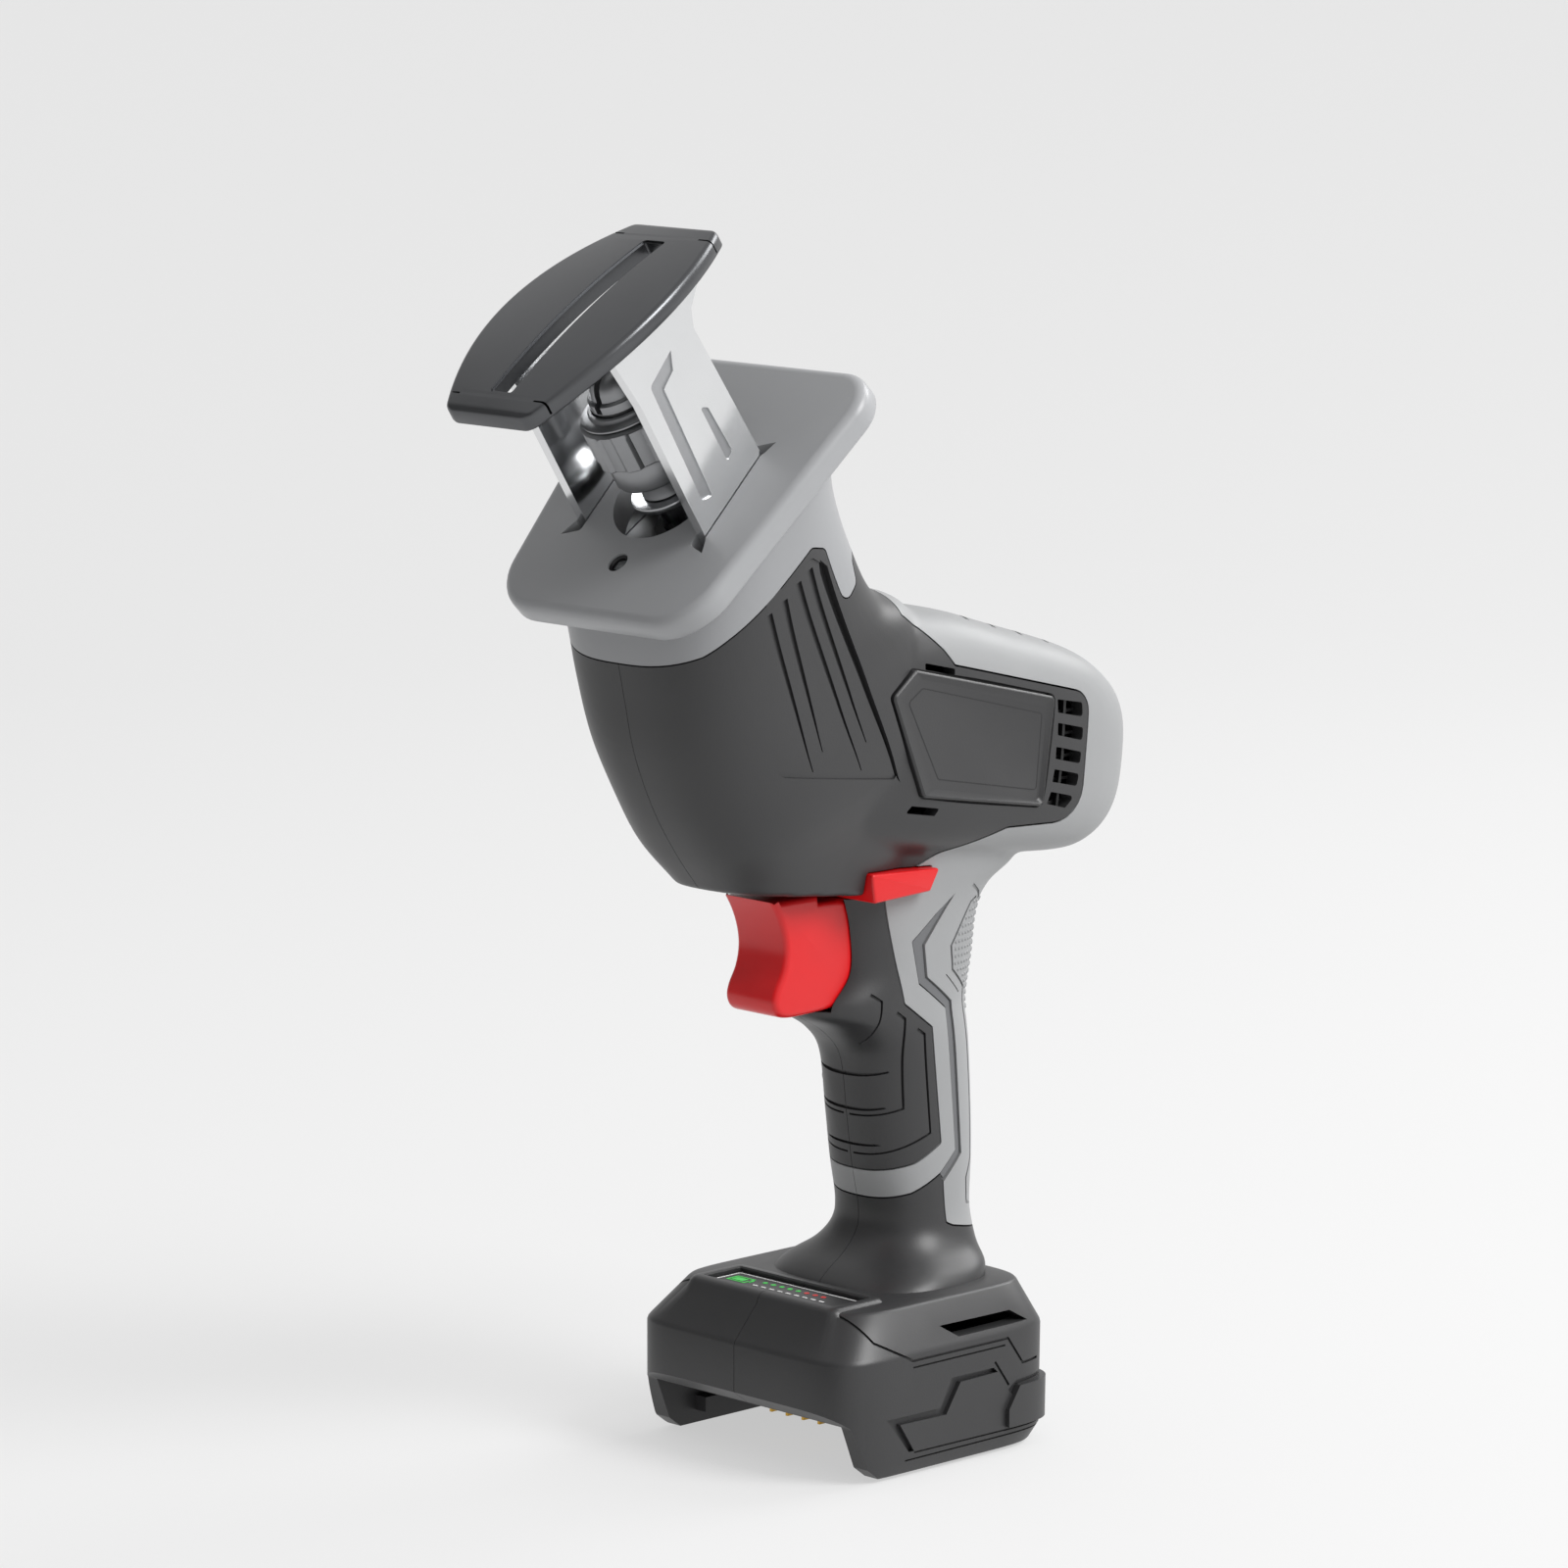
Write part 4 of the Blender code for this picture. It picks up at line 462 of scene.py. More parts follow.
def ring(section, count=96):
    (frontY, frontZ), (backY, backZ), half, power, flare = section
    points = []
    for i in range(count):
        angle = 2 * pi * (i + 0.5) / count
        along = abs(cos(angle)) ** (2 / power) * (1 if cos(angle) > 0 else -1)
        side = abs(sin(angle)) ** (2 / power) * (1 if sin(angle) > 0 else -1)
        y = (frontY + backY) / 2 + (backY - frontY) / 2 * along
        z = (frontZ + backZ) / 2 + (backZ - frontZ) / 2 * along
        points.append((half * (1 + flare * along) * side, y, z))
    return points


def flowing(sections, steps=5):
    # sections filled in along a smooth curve through them
    rows = [np.array([*front, *back, half, power, flare]) for front, back, half, power, flare in sections]
    filled = []
    for i in range(len(rows) - 1):
        a, b = rows[i], rows[i + 1]
        before = rows[i - 1] if i else 2 * a - b
        after = rows[i + 2] if i + 2 < len(rows) else 2 * b - a
        for step in range(steps):
            t = step / steps
            filled.append(0.5 * (2 * a + (b - before) * t + (2 * before - 5 * a + 4 * b - after) * t ** 2
                                 + (3 * a - before - 3 * b + after) * t ** 3))
    filled.append(rows[-1])
    return [((r[0], r[1]), (r[2], r[3]), r[4], r[5], r[6]) for r in filled]


def drawnIn(section, wall, sideWall=None, rise=0.0, slide=0.0):
    front, back, half, power, flare = section
    line = Vector((back[0] - front[0], back[1] - front[1])).normalized() * wall
    return ((front[0] + line.x + slide, front[1] + line.y + rise),
            (back[0] - line.x + slide, back[1] - line.y + rise),
            half - (sideWall or wall), power, flare)


def formFrom(name, sections, count=96):
    return loft(name, [ring(section, count) for section in sections])


upper = gathered("upperForm", [formFrom("noseForm", flowing(noseSections)),
                               formFrom("barrelForm", flowing(barrelSections)),
                               formFrom("handleForm", flowing(handleSections))])
remesh = upper.modifiers.new("skin", "REMESH")
remesh.mode = "VOXEL"
remesh.voxel_size = body["voxel"] * mm
remesh.adaptivity = 0.0
blend = upper.modifiers.new("blend", "SMOOTH")
blend.factor = 0.5
blend.iterations = body["blend"]
bake(upper)
print("upper form", len(upper.data.polygons))

# everything beyond the flange's back plane goes
carve(upper, block("flangeSide", (-80, 80), (-40, 140), (-body["plate"], 60), guardFrame))
foot = formFrom("footForm", footSections, 160)
whole = carve(copied(upper, "wholeForm"), foot, how="UNION", spare=True)

wall = body["wall"]
cavityNose = [drawnIn(s, wall) for s in noseSections[:-1]] + [drawnIn(noseSections[-1], wall, rise=wall)]
cavityNose[0] = drawnIn((guardPoint(5.0, 3), guardPoint(79.5, 3), 36.9, 2.7, 0.1), wall)
cavityBarrel = [drawnIn(s, wall, 4.0) for s in barrelSections[:-1]] + [drawnIn(barrelSections[-1], wall,
                                                                               slide=-wall)]
cavityHandle = [drawnIn(s, 4.3) for s in handleSections[:-1]]
cavityFoot = [drawnIn(footSections[3], 3.4, rise=17.3 - 30.6), drawnIn(footSections[3], 3.4, rise=-1.0),
              drawnIn(footSections[8], 3.0, rise=-wall)]
cavity = formFrom("cavityNose", cavityNose, 48)
carve(cavity, formFrom("cavityBarrel", cavityBarrel, 48), formFrom("cavityHandle", cavityHandle, 48),
      formFrom("cavityFoot", cavityFoot, 48), how="UNION")
print("cavity made")


# Parting lines, drawn in y and z and running right across the saw

coverOutline = rounded([
    (24.0, 250.0), (24.0, 221.0), (30.0, 217.0), (36.0, 211.0), (39.0, 207.0), (89.8, 194.4), (86.3, 160.3),
    (60.0, 161.4), (41.0, 156.0), (24.7, 149.3), (31.7, 117.3), (41.9, 109.8), (45.4, 77.9), (37.2, 73.3),
    (28.1, 70.7), (20.4, 69.4), (12.7, 69.0), (-6.0, 69.0), (-6.0, 63.4), (12.7, 63.4), (20.4, 62.4),
    (28.2, 63.0), (36.6, 65.6), (45.4, 70.4), (46.2, 67.8), (47.1, 56.6), (49.2, 55.6), (58.0, 53.8),
    (90.0, 50.0), (140.0, 140.0), (140.0, 250.0)],
                       [0, 0, 1, 1, 0.5, 6, 10, 3, 3, 1, 0.8, 0.8, 1.2, 6, 0, 0, 0, 0, 0, 0, 0, 0, 0, 0, 0, 0.6,
                        0.6, 0, 0, 0, 0])
collarOutline = rounded([
    (-90.0, 212.0), (-54.0, 214.0), (-48.0, 217.5), (-43.0, 222.0), (-31.6, 231.5), (-18.5, 243.2),
                         (-12.4, 242.4),
    (-3.2, 227.2), (3.4, 231.8), (2.6, 237.0), (7.4, 241.6), (40.0, 262.0), (40.0, 310.0), (-90.0, 310.0)],
                        [0, 0, 2, 3, 5, 2.5, 3, 3.2, 2.0, 1.0, 1.5, 0, 0, 0])
badgeOutline = [(23.4, 207.3), (15.1, 200.9), (26.3, 173.6), (70.9, 166.1), (75.4, 194.9)]
vents = [
    [(76.8, 193.9), (86.6, 192.0), (86.6, 188.2), (76.8, 190.4)],
    [(76.8, 187.7), (86.8, 185.3), (86.4, 181.9), (76.7, 184.4)],
    [(76.2, 181.4), (86.1, 178.9), (85.6, 175.8), (75.9, 178.2)],
    [(75.6, 175.5), (85.3, 173.1), (84.4, 169.9), (74.8, 172.2)],
    [(74.4, 169.6), (83.7, 167.3), (80.4, 164.5), (73.1, 166.5)],
]
reach = 60


def bothSides(name, outline, low, high, place=sideFrame):
    return [prism(name, outline, low, high, place), prism(name, outline, -high, -low, place)]


def engraving(form, name, outlines, depth):
    # prisms on both sides, less the form sunk by a depth: what is left cuts a groove that deep
    tools = gathered(name, [part for outline in outlines for part in bothSides(name, outline, 1.0, reach)])
    return carve(tools, sunk(form, name + "Floor", depth))


shell = carve(copied(whole, "shell"), cavity)
coverTool = prism("coverTool", coverOutline, -reach, reach)
coverGap = prism("coverGap", pushed(coverOutline, body["seam"]), -reach, reach)
collarTool = prism("collarTool", collarOutline, -reach, reach)
collarGap = prism("collarGap", pushed(collarOutline, body["seam"] - 0.1), -reach, reach)
cover = carve(copied(shell, "gripCover"), coverTool, how="INTERSECT", spare=True)
collar = carve(copied(shell, "collar"), collarTool, how="INTERSECT", spare=True)
housing = carve(shell, coverGap, collarGap)
for tool in (coverTool, collarTool):
    bpy.data.objects.remove(tool)
print("shells cut", len(housing.data.polygons), len(cover.data.polygons))

# Nose: four long grooves that taper away, beside one deep edge
noseGrooves = {"panelDepth": 0.5, "depth": 1.3, "edgeDepth": 2.0}
nosePanel = rounded([(-33.4, 230.4), (-18.2, 240.6), (-13.4, 238.4), (18.4, 179.2), (-24.9, 184.6)],
                    [2, 2, 2, 1, 4])
longGrooves = [strip([(-31.6, 227.2), (-13.1, 184.8)], 2.0, 0.3),
               strip([(-26.6, 230.4), (-10.1, 189.7)], 2.2, 0.3),
               strip([(-22.0, 234.4), (4.3, 183.3)], 2.2, 0.3), strip([(-18.0, 237.4), (5.6, 190.4)], 2.4, 0.3)]
deepEdge = [(-14.6, 239.6), (-11.2, 237.6), (19.4, 178.2), (18.0, 179.6), (-13.6, 236.0)]
carve(housing, engraving(upper, "nosePanel", [nosePanel], noseGrooves["panelDepth"]))
carve(housing, engraving(upper, "noseLong", longGrooves, noseGrooves["depth"]))
carve(housing, engraving(upper, "noseEdge", [deepEdge], noseGrooves["edgeDepth"]))

# Motor side: badge seat, air slots behind their frame, and clip slots
clipSlots = [[(28.6, 208.3), (38.6, 205.9), (38.4, 204.2), (28.3, 206.6)],
             [(23.7, 171.6), (33.3, 169.9), (32.0, 168.0), (21.9, 169.8)]]
holes = []
for outline in vents:
    holes += bothSides("airSlot", rounded(outline, [0.3, 0.8, 0.8, 0.3], 3), 14.0, reach)
for outline in clipSlots:
    holes += bothSides("clipSlot", rounded(outline, 0.4, 3), 20.0, reach)
carve(housing, gathered("sideHoles", holes))
carve(housing, gathered("badgeSeat", bothSides("badgeSeat", pushed(rounded(badgeOutline, 1.8), 0.35), 26.4,
                                               reach)))
carve(housing, gathered("badgeBevel", [
    loft("badgeBevel", [[(side * 27.4, y, z) for y, z in rounded(pushed(badgeOutline, 0.2), 1.8)],
                        [(side * 30.4, y, z) for y, z in rounded(pushed(badgeOutline, 2.2), 1.8)]])
    for side in (1, -1)]))

# Handle front: nested grooves and finger scallops
handleLines = [strip([(21.2, 120.6), (24.1, 118.6), (23.2, 106.5)], 0.9, 0.4),
               strip([(28.9, 115.1), (31.8, 113.1), (33.6, 88.6), (25.5, 85.6)], 0.9, 0.5),
               strip([(36.3, 109.8), (38.9, 108.1), (41.4, 81.3), (28.1, 75.4)], 0.9, 0.5)]
carve(housing, engraving(upper, "handleLines", handleLines, 0.8))
scallops = {"heights": (97.0, 87.2, 77.0), "width": 3.6, "depth": 0.9}
rings = []
for height in scallops["heights"]:
    path = [(-10, height - 1.2), (12.8, height - 1.2), (18.0, height - 0.9), (24.5, height),
            (30.0, height + 1.6)]
    rings.append(prism("scallop", strip(path, scallops["width"], 0.5), -reach, reach))
carve(housing, carve(gathered("scallops", rings), sunk(upper, "scallopFloor", scallops["depth"])))

# Foot: battery channel with its rails, toe cut, side slots and panel lines
channelHalf = footHalf - 6.3
rails = gathered("rails", [block("rail", sorted((side * (channelHalf - 4.0), side * (channelHalf + 3))),
                                 (5, 50), (3.5, 7.5))
                           for side in (1, -1)])
channel = carve(block("channel", (-channelHalf, channelHalf), (footFront - 10, footBack - 6), (-5, 14.5)),
                rails)
toe = prism("toe", rounded([(footFront - 20, -5), (0, -5), (-0.5, 0), (-4.5, 3), (-9, 14.5),
                            (footFront - 0.5, 18.5),
                            (footFront - 20, 18.5)], [0, 0, 0, 1, 2.5, 2.5, 0]), -reach, reach)
carve(housing, channel, toe)
footLines = [strip([(-11.1, 45.3), (-3.3, 41.7), (-0.2, 35.5), (10.8, 29.6), (46.1, 29.5), (51.9, 21.9),
                    (58.6, 22.1)], 0.7),
             strip([(10.9, 27.8), (45.0, 27.8)], 0.5), strip([(41.2, 24.0), (46.5, 16.8)], 0.7),
             strip([(11.3, 5.2), (52.8, 4.9), (70, 4.9)], 0.45),
             strip([(8.1, 3.5), (58.8, 3.6), (70, 3.6)], 0.45)]
carve(housing, engraving(foot, "footLines", footLines, 0.7))
panelStep = [(1.5, 15.4), (21.0, 15.3), (25.2, 22.6), (40.7, 22.5), (42.3, 21.1), (28.4, 20.9), (23.1, 13.1),
             (6.2, 13.4), (11.3, 5.6), (9.4, 5.6)]
carve(housing, engraving(foot, "panelStep", [panelStep], 1.4))
carve(housing, gathered("sideSlots", bothSides("sideSlot", [(23.4, 36.2), (49.6, 36.0), (54.9, 32.8),
                                                            (28.7, 32.8)], 32.0, reach)))
bandSections = [drawnIn(s, -1.3) for s in footSections[2:4]]
band = carve(formFrom("heelBand", bandSections, 160), carve(
    prism("heelBandKeep", rounded([(45.4, 5.6), (90, 5.6), (90, 16.4), (49.6, 16.4), (45.4, 10.5)],
                                  [0.4, 0, 0, 0.6, 0.6]), -reach, reach),
    block("channelKeep", (-channelHalf - 2, channelHalf + 2), (-60, footBack - 4), (-20, 14.8))),
             how="INTERSECT")
carve(housing, engraving(foot, "bandStep", [[(46.2, 15.6), (48.6, 13.4), (50.0, 16.6), (70, 17.6), (70, 18.6),
                                             (49.4, 17.6)]], 0.8))
carve(housing, band, how="UNION")

# Raised frame round the charge display
display = {"x": 23.9, "y": (-1.4, 11.1), "depth": 1.2}
(displayLow, displayHigh) = display["y"]


def displayRing(grow, height, corner):
    outline = [(-display["x"] - grow, displayLow - grow), (display["x"] + grow, displayLow - grow),
               (display["x"] + grow, displayHigh + grow), (-display["x"] - grow, displayHigh + grow)]
    return [(x, y, height) for x, y in rounded(outline, corner, 6)]


deck = body["deck"]
bump = loft("displayFrame", [displayRing(5.2, deck - 4.0, 3.5), displayRing(3.8, deck - 0.3, 3.0),
                             displayRing(3.2, deck + 0.5, 2.6),
                             displayRing(2.4, deck + 0.95, 2.0), displayRing(1.6, deck + 1.05, 1.4)])
carve(housing, bump, how="UNION")
carve(housing, loft("displaySeat", [displayRing(0.3, deck - display["depth"] - 0.3, 0.5),
                                    displayRing(0.3, deck + 0.6, 0.5),
                                    displayRing(0.9, deck + 1.4, 0.9)]))
carve(housing, block("plugSlot", (-11.8, 11.8), (24.2, 45.8), (12.5, 18.3)))

# Trigger and lock bar openings, with eased lips
carve(housing, block("triggerSlot", (-9.9, 9.9), (-14, 32), (116.6, 148.5)))
lockSection = [(15.0, 154.0), (40.0, 152.8), (36.5, 147.0), (16.0, 146.2)]
lockHole = prism("lockHole", pushed(rounded(lockSection, 0.6, 3), 0.4), -reach, reach)
carve(housing, lockHole, spare=True)
carve(cover, lockHole)

# Screw holes, bored in from the right as deep as the heads
screwPlaces = {"nose_screw_front": (-40.0, 197.0), "nose_screw_top": (8.5, 229.5),
               "handle_screw_top": (33.0, 160.5),
               "handle_screw_middle": (34.0, 94.0), "handle_screw_low": (40.0, 56.0),
               "foot_screw_front": (-1.0, 27.0), "foot_screw_back": (54.0, 27.0)}
carve(housing, gathered("screwHoles", [rod("screwHole", 3.3, -reach, -11.1, sideFrame, place, 32)
                                       for place in screwPlaces.values()]))
print("housing carved")

# Grip cover: a mid-grey channel down each side, the palm patch's border, and curved grooves over the motor
gripChannel = rounded([(49.9, 144.3), (38.9, 131.8), (39.9, 123.2), (50.1, 115.5), (53.3, 74.1), (46.4, 67.6),
                       (44.6, 69.8), (50.6, 75.4),
                       (47.1, 113.9), (36.7, 121.6), (34.3, 133.3), (42.7, 139.6)],
                      [0, .5, .5, .5, .5, 0, 0, .5, .5, .5, .5, 0.5])
carve(cover, engraving(upper, "gripChannel", [gripChannel], 1.3))
inlay = carve(gathered("gripInlay", bothSides("gripInlay", pushed(gripChannel, -0.55), 3.0, reach)),
              sunk(upper, "inlayTop", 0.45), how="INTERSECT")
carve(inlay, sunk(upper, "inlayBack", 1.25))
palmPath = [(60.5, 141.8), (57.6, 140.8), (49.0, 130.3), (49.8, 123.8), (56.4, 118.2), (58.6, 86.5),
            (58.7, 71.6), (55.9, 67.0),
            (56.2, 60.2), (58.4, 59.6), (62.0, 59.6)]
carve(cover, engraving(upper, "palmBorder", [strip(palmPath, 0.7)], 0.7))
carve(cover, engraving(upper, "thinLines", [strip([(57.0, 145.6), (61.0, 143.0), (63.6, 139.4)], 0.9),
                                            strip([(47.1, 122.9), (53.7, 117.1)], 0.35)], 0.5))
topGrooves = {"starts": (52.0, 62.0, 72.0, 82.0), "width": 1.3, "depth": 0.7}
arcs = []
for start in topGrooves["starts"]:
    outer = [(x, start + 5.0 - 0.012 * x * x) for x in range(-18, 19, 2)]
    arcs.append(prism("topGroove", strip([(x, y) for x, y in outer], topGrooves["width"]), 190, 240,
                      plainFrame))
carve(cover, carve(gathered("topGrooves", arcs), sunk(upper, "topGrooveFloor", topGrooves["depth"])))
print("cover carved")

# Each moulding is split down the middle, as it comes from its tools
halfGap = body["split"] / 2
looks = {"housing": nylonDark, "gripCover": rubberGrey, "gripInlay": rubberMid}
owners = {"housing": ("dark_plastic", "housing"), "gripCover": ("grey_plastic", "grip_cover"),
          "gripInlay": ("grey_plastic", None)}
for source in (housing, cover, inlay):
    name = {housing: "housing", cover: "gripCover", inlay: "gripInlay"}[source]
    for sideName, low, high in (("Left", halfGap, reach), ("Right", -reach, -halfGap)):
        half = carve(copied(source, name + sideName), block("keepHalf", (low, high), (-200, 200), (-20, 400)),
                     how="INTERSECT")
        slotName, node = owners[name]
        nodes = [node + "_" + sideName.lower()] if node else []
        finished(half, looks[name], "housing", slotName, *nodes)
    bpy.data.objects.remove(source)
finished(collar, absGrey, "housing", "collar_plastic", "guard_collar")
for spare in (foot, whole):
    bpy.data.objects.remove(spare)
print("mouldings split")

# Node trees for what repeats: named inputs, then Realize Instances and Set Material at the end

def startTree(name, inputs):
    tree = bpy.data.node_groups.new(name, "GeometryNodeTree")
    tree.is_modifier = True
    tree.interface.new_socket("Geometry", in_out="INPUT", socket_type="NodeSocketGeometry")
    keys = {}
    for label, kind in inputs.items():
        keys[label] = tree.interface.new_socket(label, in_out="INPUT",
                                                socket_type="NodeSocket" + kind).identifier
    tree.interface.new_socket("Geometry", in_out="OUTPUT", socket_type="NodeSocketGeometry")
    return tree, tree.nodes.new("NodeGroupInput"), keys


def endTree(tree, start, geometry):
    solid = addNode(tree, "GeometryNodeRealizeInstances", links={"Geometry": geometry})
    dressed = addNode(tree, "GeometryNodeSetMaterial", links={"Geometry": solid.outputs[0],
                                                              "Material": start.outputs["Material"]})
    addNode(tree, "NodeGroupOutput", links={"Geometry": dressed.outputs[0]})


def runTree(piece, group, values):
    tree, keys = group
    step = piece.modifiers.new(tree.name, "NODES")
    step.node_group = tree
    for label, value in values.items():
        step[keys[label]] = value
    return bake(piece)


def math(tree, how, a, b=None):
    node = addNode(tree, "ShaderNodeMath", {"operation": how})
    for i, value in enumerate((a, b)):
        if isinstance(value, (int, float)):
            node.inputs[i].default_value = value
        elif value is not None:
            tree.links.new(value, node.inputs[i])
    return node.outputs[0]


def pointsOnly(name, points):
    # loose points in metres, for a tree to put things on
    mesh = bpy.data.meshes.new(name)
    mesh.from_pydata([tuple(p) for p in points], [], [])
    piece = bpy.data.objects.new(name, mesh)
    bpy.context.collection.objects.link(piece)
    return piece


def settled(piece, place):
    piece.data.transform(Matrix.Translation(sawShift) @ place)
    return piece


localFrame = Matrix.Translation(-sawShift)


def fluteTree():
    # pushes a turned wall inwards in a ring of hollows between two heights
    tree, start, keys = startTree("flutes", {"Count": "Int", "Depth": "Float", "Low": "Float", "High": "Float",
                                             "Wall": "Float", "Material": "Material"})
    spot = addNode(tree, "GeometryNodeInputPosition").outputs[0]
    parts = addNode(tree, "ShaderNodeSeparateXYZ", links={0: spot}).outputs
    angle = math(tree, "ARCTAN2", parts[1], parts[0])
    wave = math(tree, "MULTIPLY", math(tree, "COSINE", math(tree, "MULTIPLY", angle, start.outputs["Count"])),
                2.2)
    wave = math(tree, "MINIMUM", math(tree, "MAXIMUM", math(tree, "ADD", wave, 0.4), 0.0), 1.0)
    inside = math(tree, "MULTIPLY", math(tree, "GREATER_THAN", parts[2], start.outputs["Low"]),
                  math(tree, "LESS_THAN", parts[2], start.outputs["High"]))
    flat = addNode(tree, "ShaderNodeCombineXYZ", links={0: parts[0], 1: parts[1]}).outputs[0]
    reachOut = addNode(tree, "ShaderNodeVectorMath", {"operation": "LENGTH"}, {0: flat}).outputs["Value"]
    inside = math(tree, "MULTIPLY", inside, math(tree, "GREATER_THAN", reachOut, start.outputs["Wall"]))
    push = math(tree, "MULTIPLY", math(tree, "MULTIPLY", wave, inside),
                math(tree, "MULTIPLY", start.outputs["Depth"], -1.0))
    outward = addNode(tree, "ShaderNodeVectorMath", {"operation": "NORMALIZE"}, {0: flat}).outputs[0]
    offset = addNode(tree, "ShaderNodeVectorMath", {"operation": "SCALE"},
                     {0: outward, "Scale": push}).outputs[0]
    moved = addNode(tree, "GeometryNodeSetPosition", links={"Geometry": start.outputs["Geometry"],
                                                            "Offset": offset})
    endTree(tree, start, moved.outputs[0])
    return tree, keys


def screwTree():
    # a pan head with a six-sided socket and its shank, on every point, along X
    tree, start, keys = startTree("screws", {"Head Radius": "Float", "Head Height": "Float",
                                             "Socket Radius": "Float",
                                             "Shank Radius": "Float", "Length": "Float",
                                             "Material": "Material"})
    half = math(tree, "MULTIPLY", start.outputs["Head Height"], 0.5)
    head = addNode(tree, "GeometryNodeMeshCylinder", {"Vertices": 32}, {"Radius": start.outputs["Head Radius"],
                                                                        "Depth": start.outputs["Head Height"]})
    socket = addNode(tree, "GeometryNodeMeshCylinder", {"Vertices": 6},
                     {"Radius": start.outputs["Socket Radius"],
                      "Depth": start.outputs["Head Height"]})
    lift = addNode(tree, "ShaderNodeCombineXYZ", links={2: half}).outputs[0]
    raised = addNode(tree, "GeometryNodeTransform", links={"Geometry": socket.outputs["Mesh"],
                                                           "Translation": lift})
    drilled = addNode(tree, "GeometryNodeMeshBoolean", {"operation": "DIFFERENCE"},
                      {"Mesh 1": head.outputs["Mesh"],
                       "Mesh 2": raised.outputs[0]})
    shank = addNode(tree, "GeometryNodeMeshCylinder", {"Vertices": 20},
                    {"Radius": start.outputs["Shank Radius"],
                     "Depth": start.outputs["Length"]})
    sink = math(tree, "MULTIPLY", math(tree, "ADD", start.outputs["Length"], start.outputs["Head Height"]),
                -0.49)
    low = addNode(tree, "GeometryNodeTransform", links={"Geometry": shank.outputs["Mesh"],
                                                        "Translation": addNode(tree, "ShaderNodeCombineXYZ",
                                                                               links={2: sink}).outputs[0]})
    both = tree.nodes.new("GeometryNodeJoinGeometry")
    tree.links.new(drilled.outputs[0], both.inputs[0])
    tree.links.new(low.outputs[0], both.inputs[0])
    side = addNode(tree, "GeometryNodeInputNamedAttribute", {"data_type": "FLOAT"}, None)
    side.inputs["Name"].default_value = "side"
    turn = addNode(tree, "ShaderNodeCombineXYZ", links={1: math(tree, "MULTIPLY", side.outputs[0],
                                                                pi / 2)}).outputs[0]
    placed = addNode(tree, "GeometryNodeInstanceOnPoints", links={"Points": start.outputs["Geometry"],
                                                                  "Instance": both.outputs[0],
                                                                  "Rotation": turn})
    endTree(tree, start, placed.outputs[0])
    return tree, keys


def bumpTree():
    # rays from each point to the skin: where they land behind the patch's border, a low bump
    tree, start, keys = startTree("gripBumps", {"Skin": "Object", "Radius": "Float", "Height": "Float",
                                                "Material": "Material"})
    skin = addNode(tree, "GeometryNodeObjectInfo", links={"Object": start.outputs["Skin"]}).outputs["Geometry"]
    aimAt = addNode(tree, "GeometryNodeInputNamedAttribute", {"data_type": "FLOAT_VECTOR"})
    aimAt.inputs["Name"].default_value = "aim"
    border = addNode(tree, "GeometryNodeInputNamedAttribute", {"data_type": "FLOAT"})
    border.inputs["Name"].default_value = "border"
    ray = addNode(tree, "GeometryNodeRaycast", {"Ray Length": 0.08},
                  {"Target Geometry": skin, "Ray Direction": aimAt.outputs[0]})
    depth = addNode(tree, "ShaderNodeSeparateXYZ", links={0: ray.outputs["Hit Position"]}).outputs[1]
    keep = math(tree, "MULTIPLY", math(tree, "GREATER_THAN", depth, border.outputs[0]), ray.outputs["Is Hit"])
    # the ray is stored before the points move, or it would be cast again from the skin itself
    kept = addNode(tree, "GeometryNodeStoreNamedAttribute", {"data_type": "FLOAT", "Name": "keep"},
                   {"Geometry": start.outputs["Geometry"], "Value": keep})
    faced = addNode(tree, "GeometryNodeStoreNamedAttribute", {"data_type": "FLOAT_VECTOR", "Name": "facing"},
                    {"Geometry": kept.outputs[0], "Value": ray.outputs["Hit Normal"]})
    landed = addNode(tree, "GeometryNodeSetPosition", links={"Geometry": faced.outputs[0],
                                                             "Position": ray.outputs["Hit Position"]})
    keepBack = addNode(tree, "GeometryNodeInputNamedAttribute", {"data_type": "FLOAT", "Name": "keep"})
    facing = addNode(tree, "GeometryNodeInputNamedAttribute", {"data_type": "FLOAT_VECTOR", "Name": "facing"})
    bump = addNode(tree, "GeometryNodeMeshCone", {"Vertices": 8},
                   {"Radius Bottom": start.outputs["Radius"], "Depth": start.outputs["Height"],
                    "Radius Top": math(tree, "MULTIPLY", start.outputs["Radius"], 0.5)})
    sunkIn = addNode(tree, "GeometryNodeTransform", links={"Geometry": bump.outputs["Mesh"],
                                                           "Translation": addNode(tree, "ShaderNodeCombineXYZ",
                                                                                  links={
                         2: math(tree, "MULTIPLY", start.outputs["Height"], -0.2)}).outputs[0]})
    normal = addNode(tree, "FunctionNodeAlignRotationToVector", {"axis": "Z"}, {"Vector": facing.outputs[0]})
    placed = addNode(tree, "GeometryNodeInstanceOnPoints", links={"Points": landed.outputs[0],
                                                                  "Selection": keepBack.outputs[0],
                                                                  "Instance": sunkIn.outputs[0],
                                                                  "Rotation": normal.outputs[0]})
    endTree(tree, start, placed.outputs[0])
    return tree, keys


def rowTree():
    # the input mesh repeated along a line
    tree, start, keys = startTree("rows", {"Count": "Int", "Step": "Vector", "Material": "Material"})
    line = addNode(tree, "GeometryNodeMeshLine", links={"Count": start.outputs["Count"],
                                                        "Offset": start.outputs["Step"]})
    placed = addNode(tree, "GeometryNodeInstanceOnPoints", links={"Points": line.outputs[0],
                                                                  "Instance": start.outputs["Geometry"]})
    endTree(tree, start, placed.outputs[0])
    return tree, keys


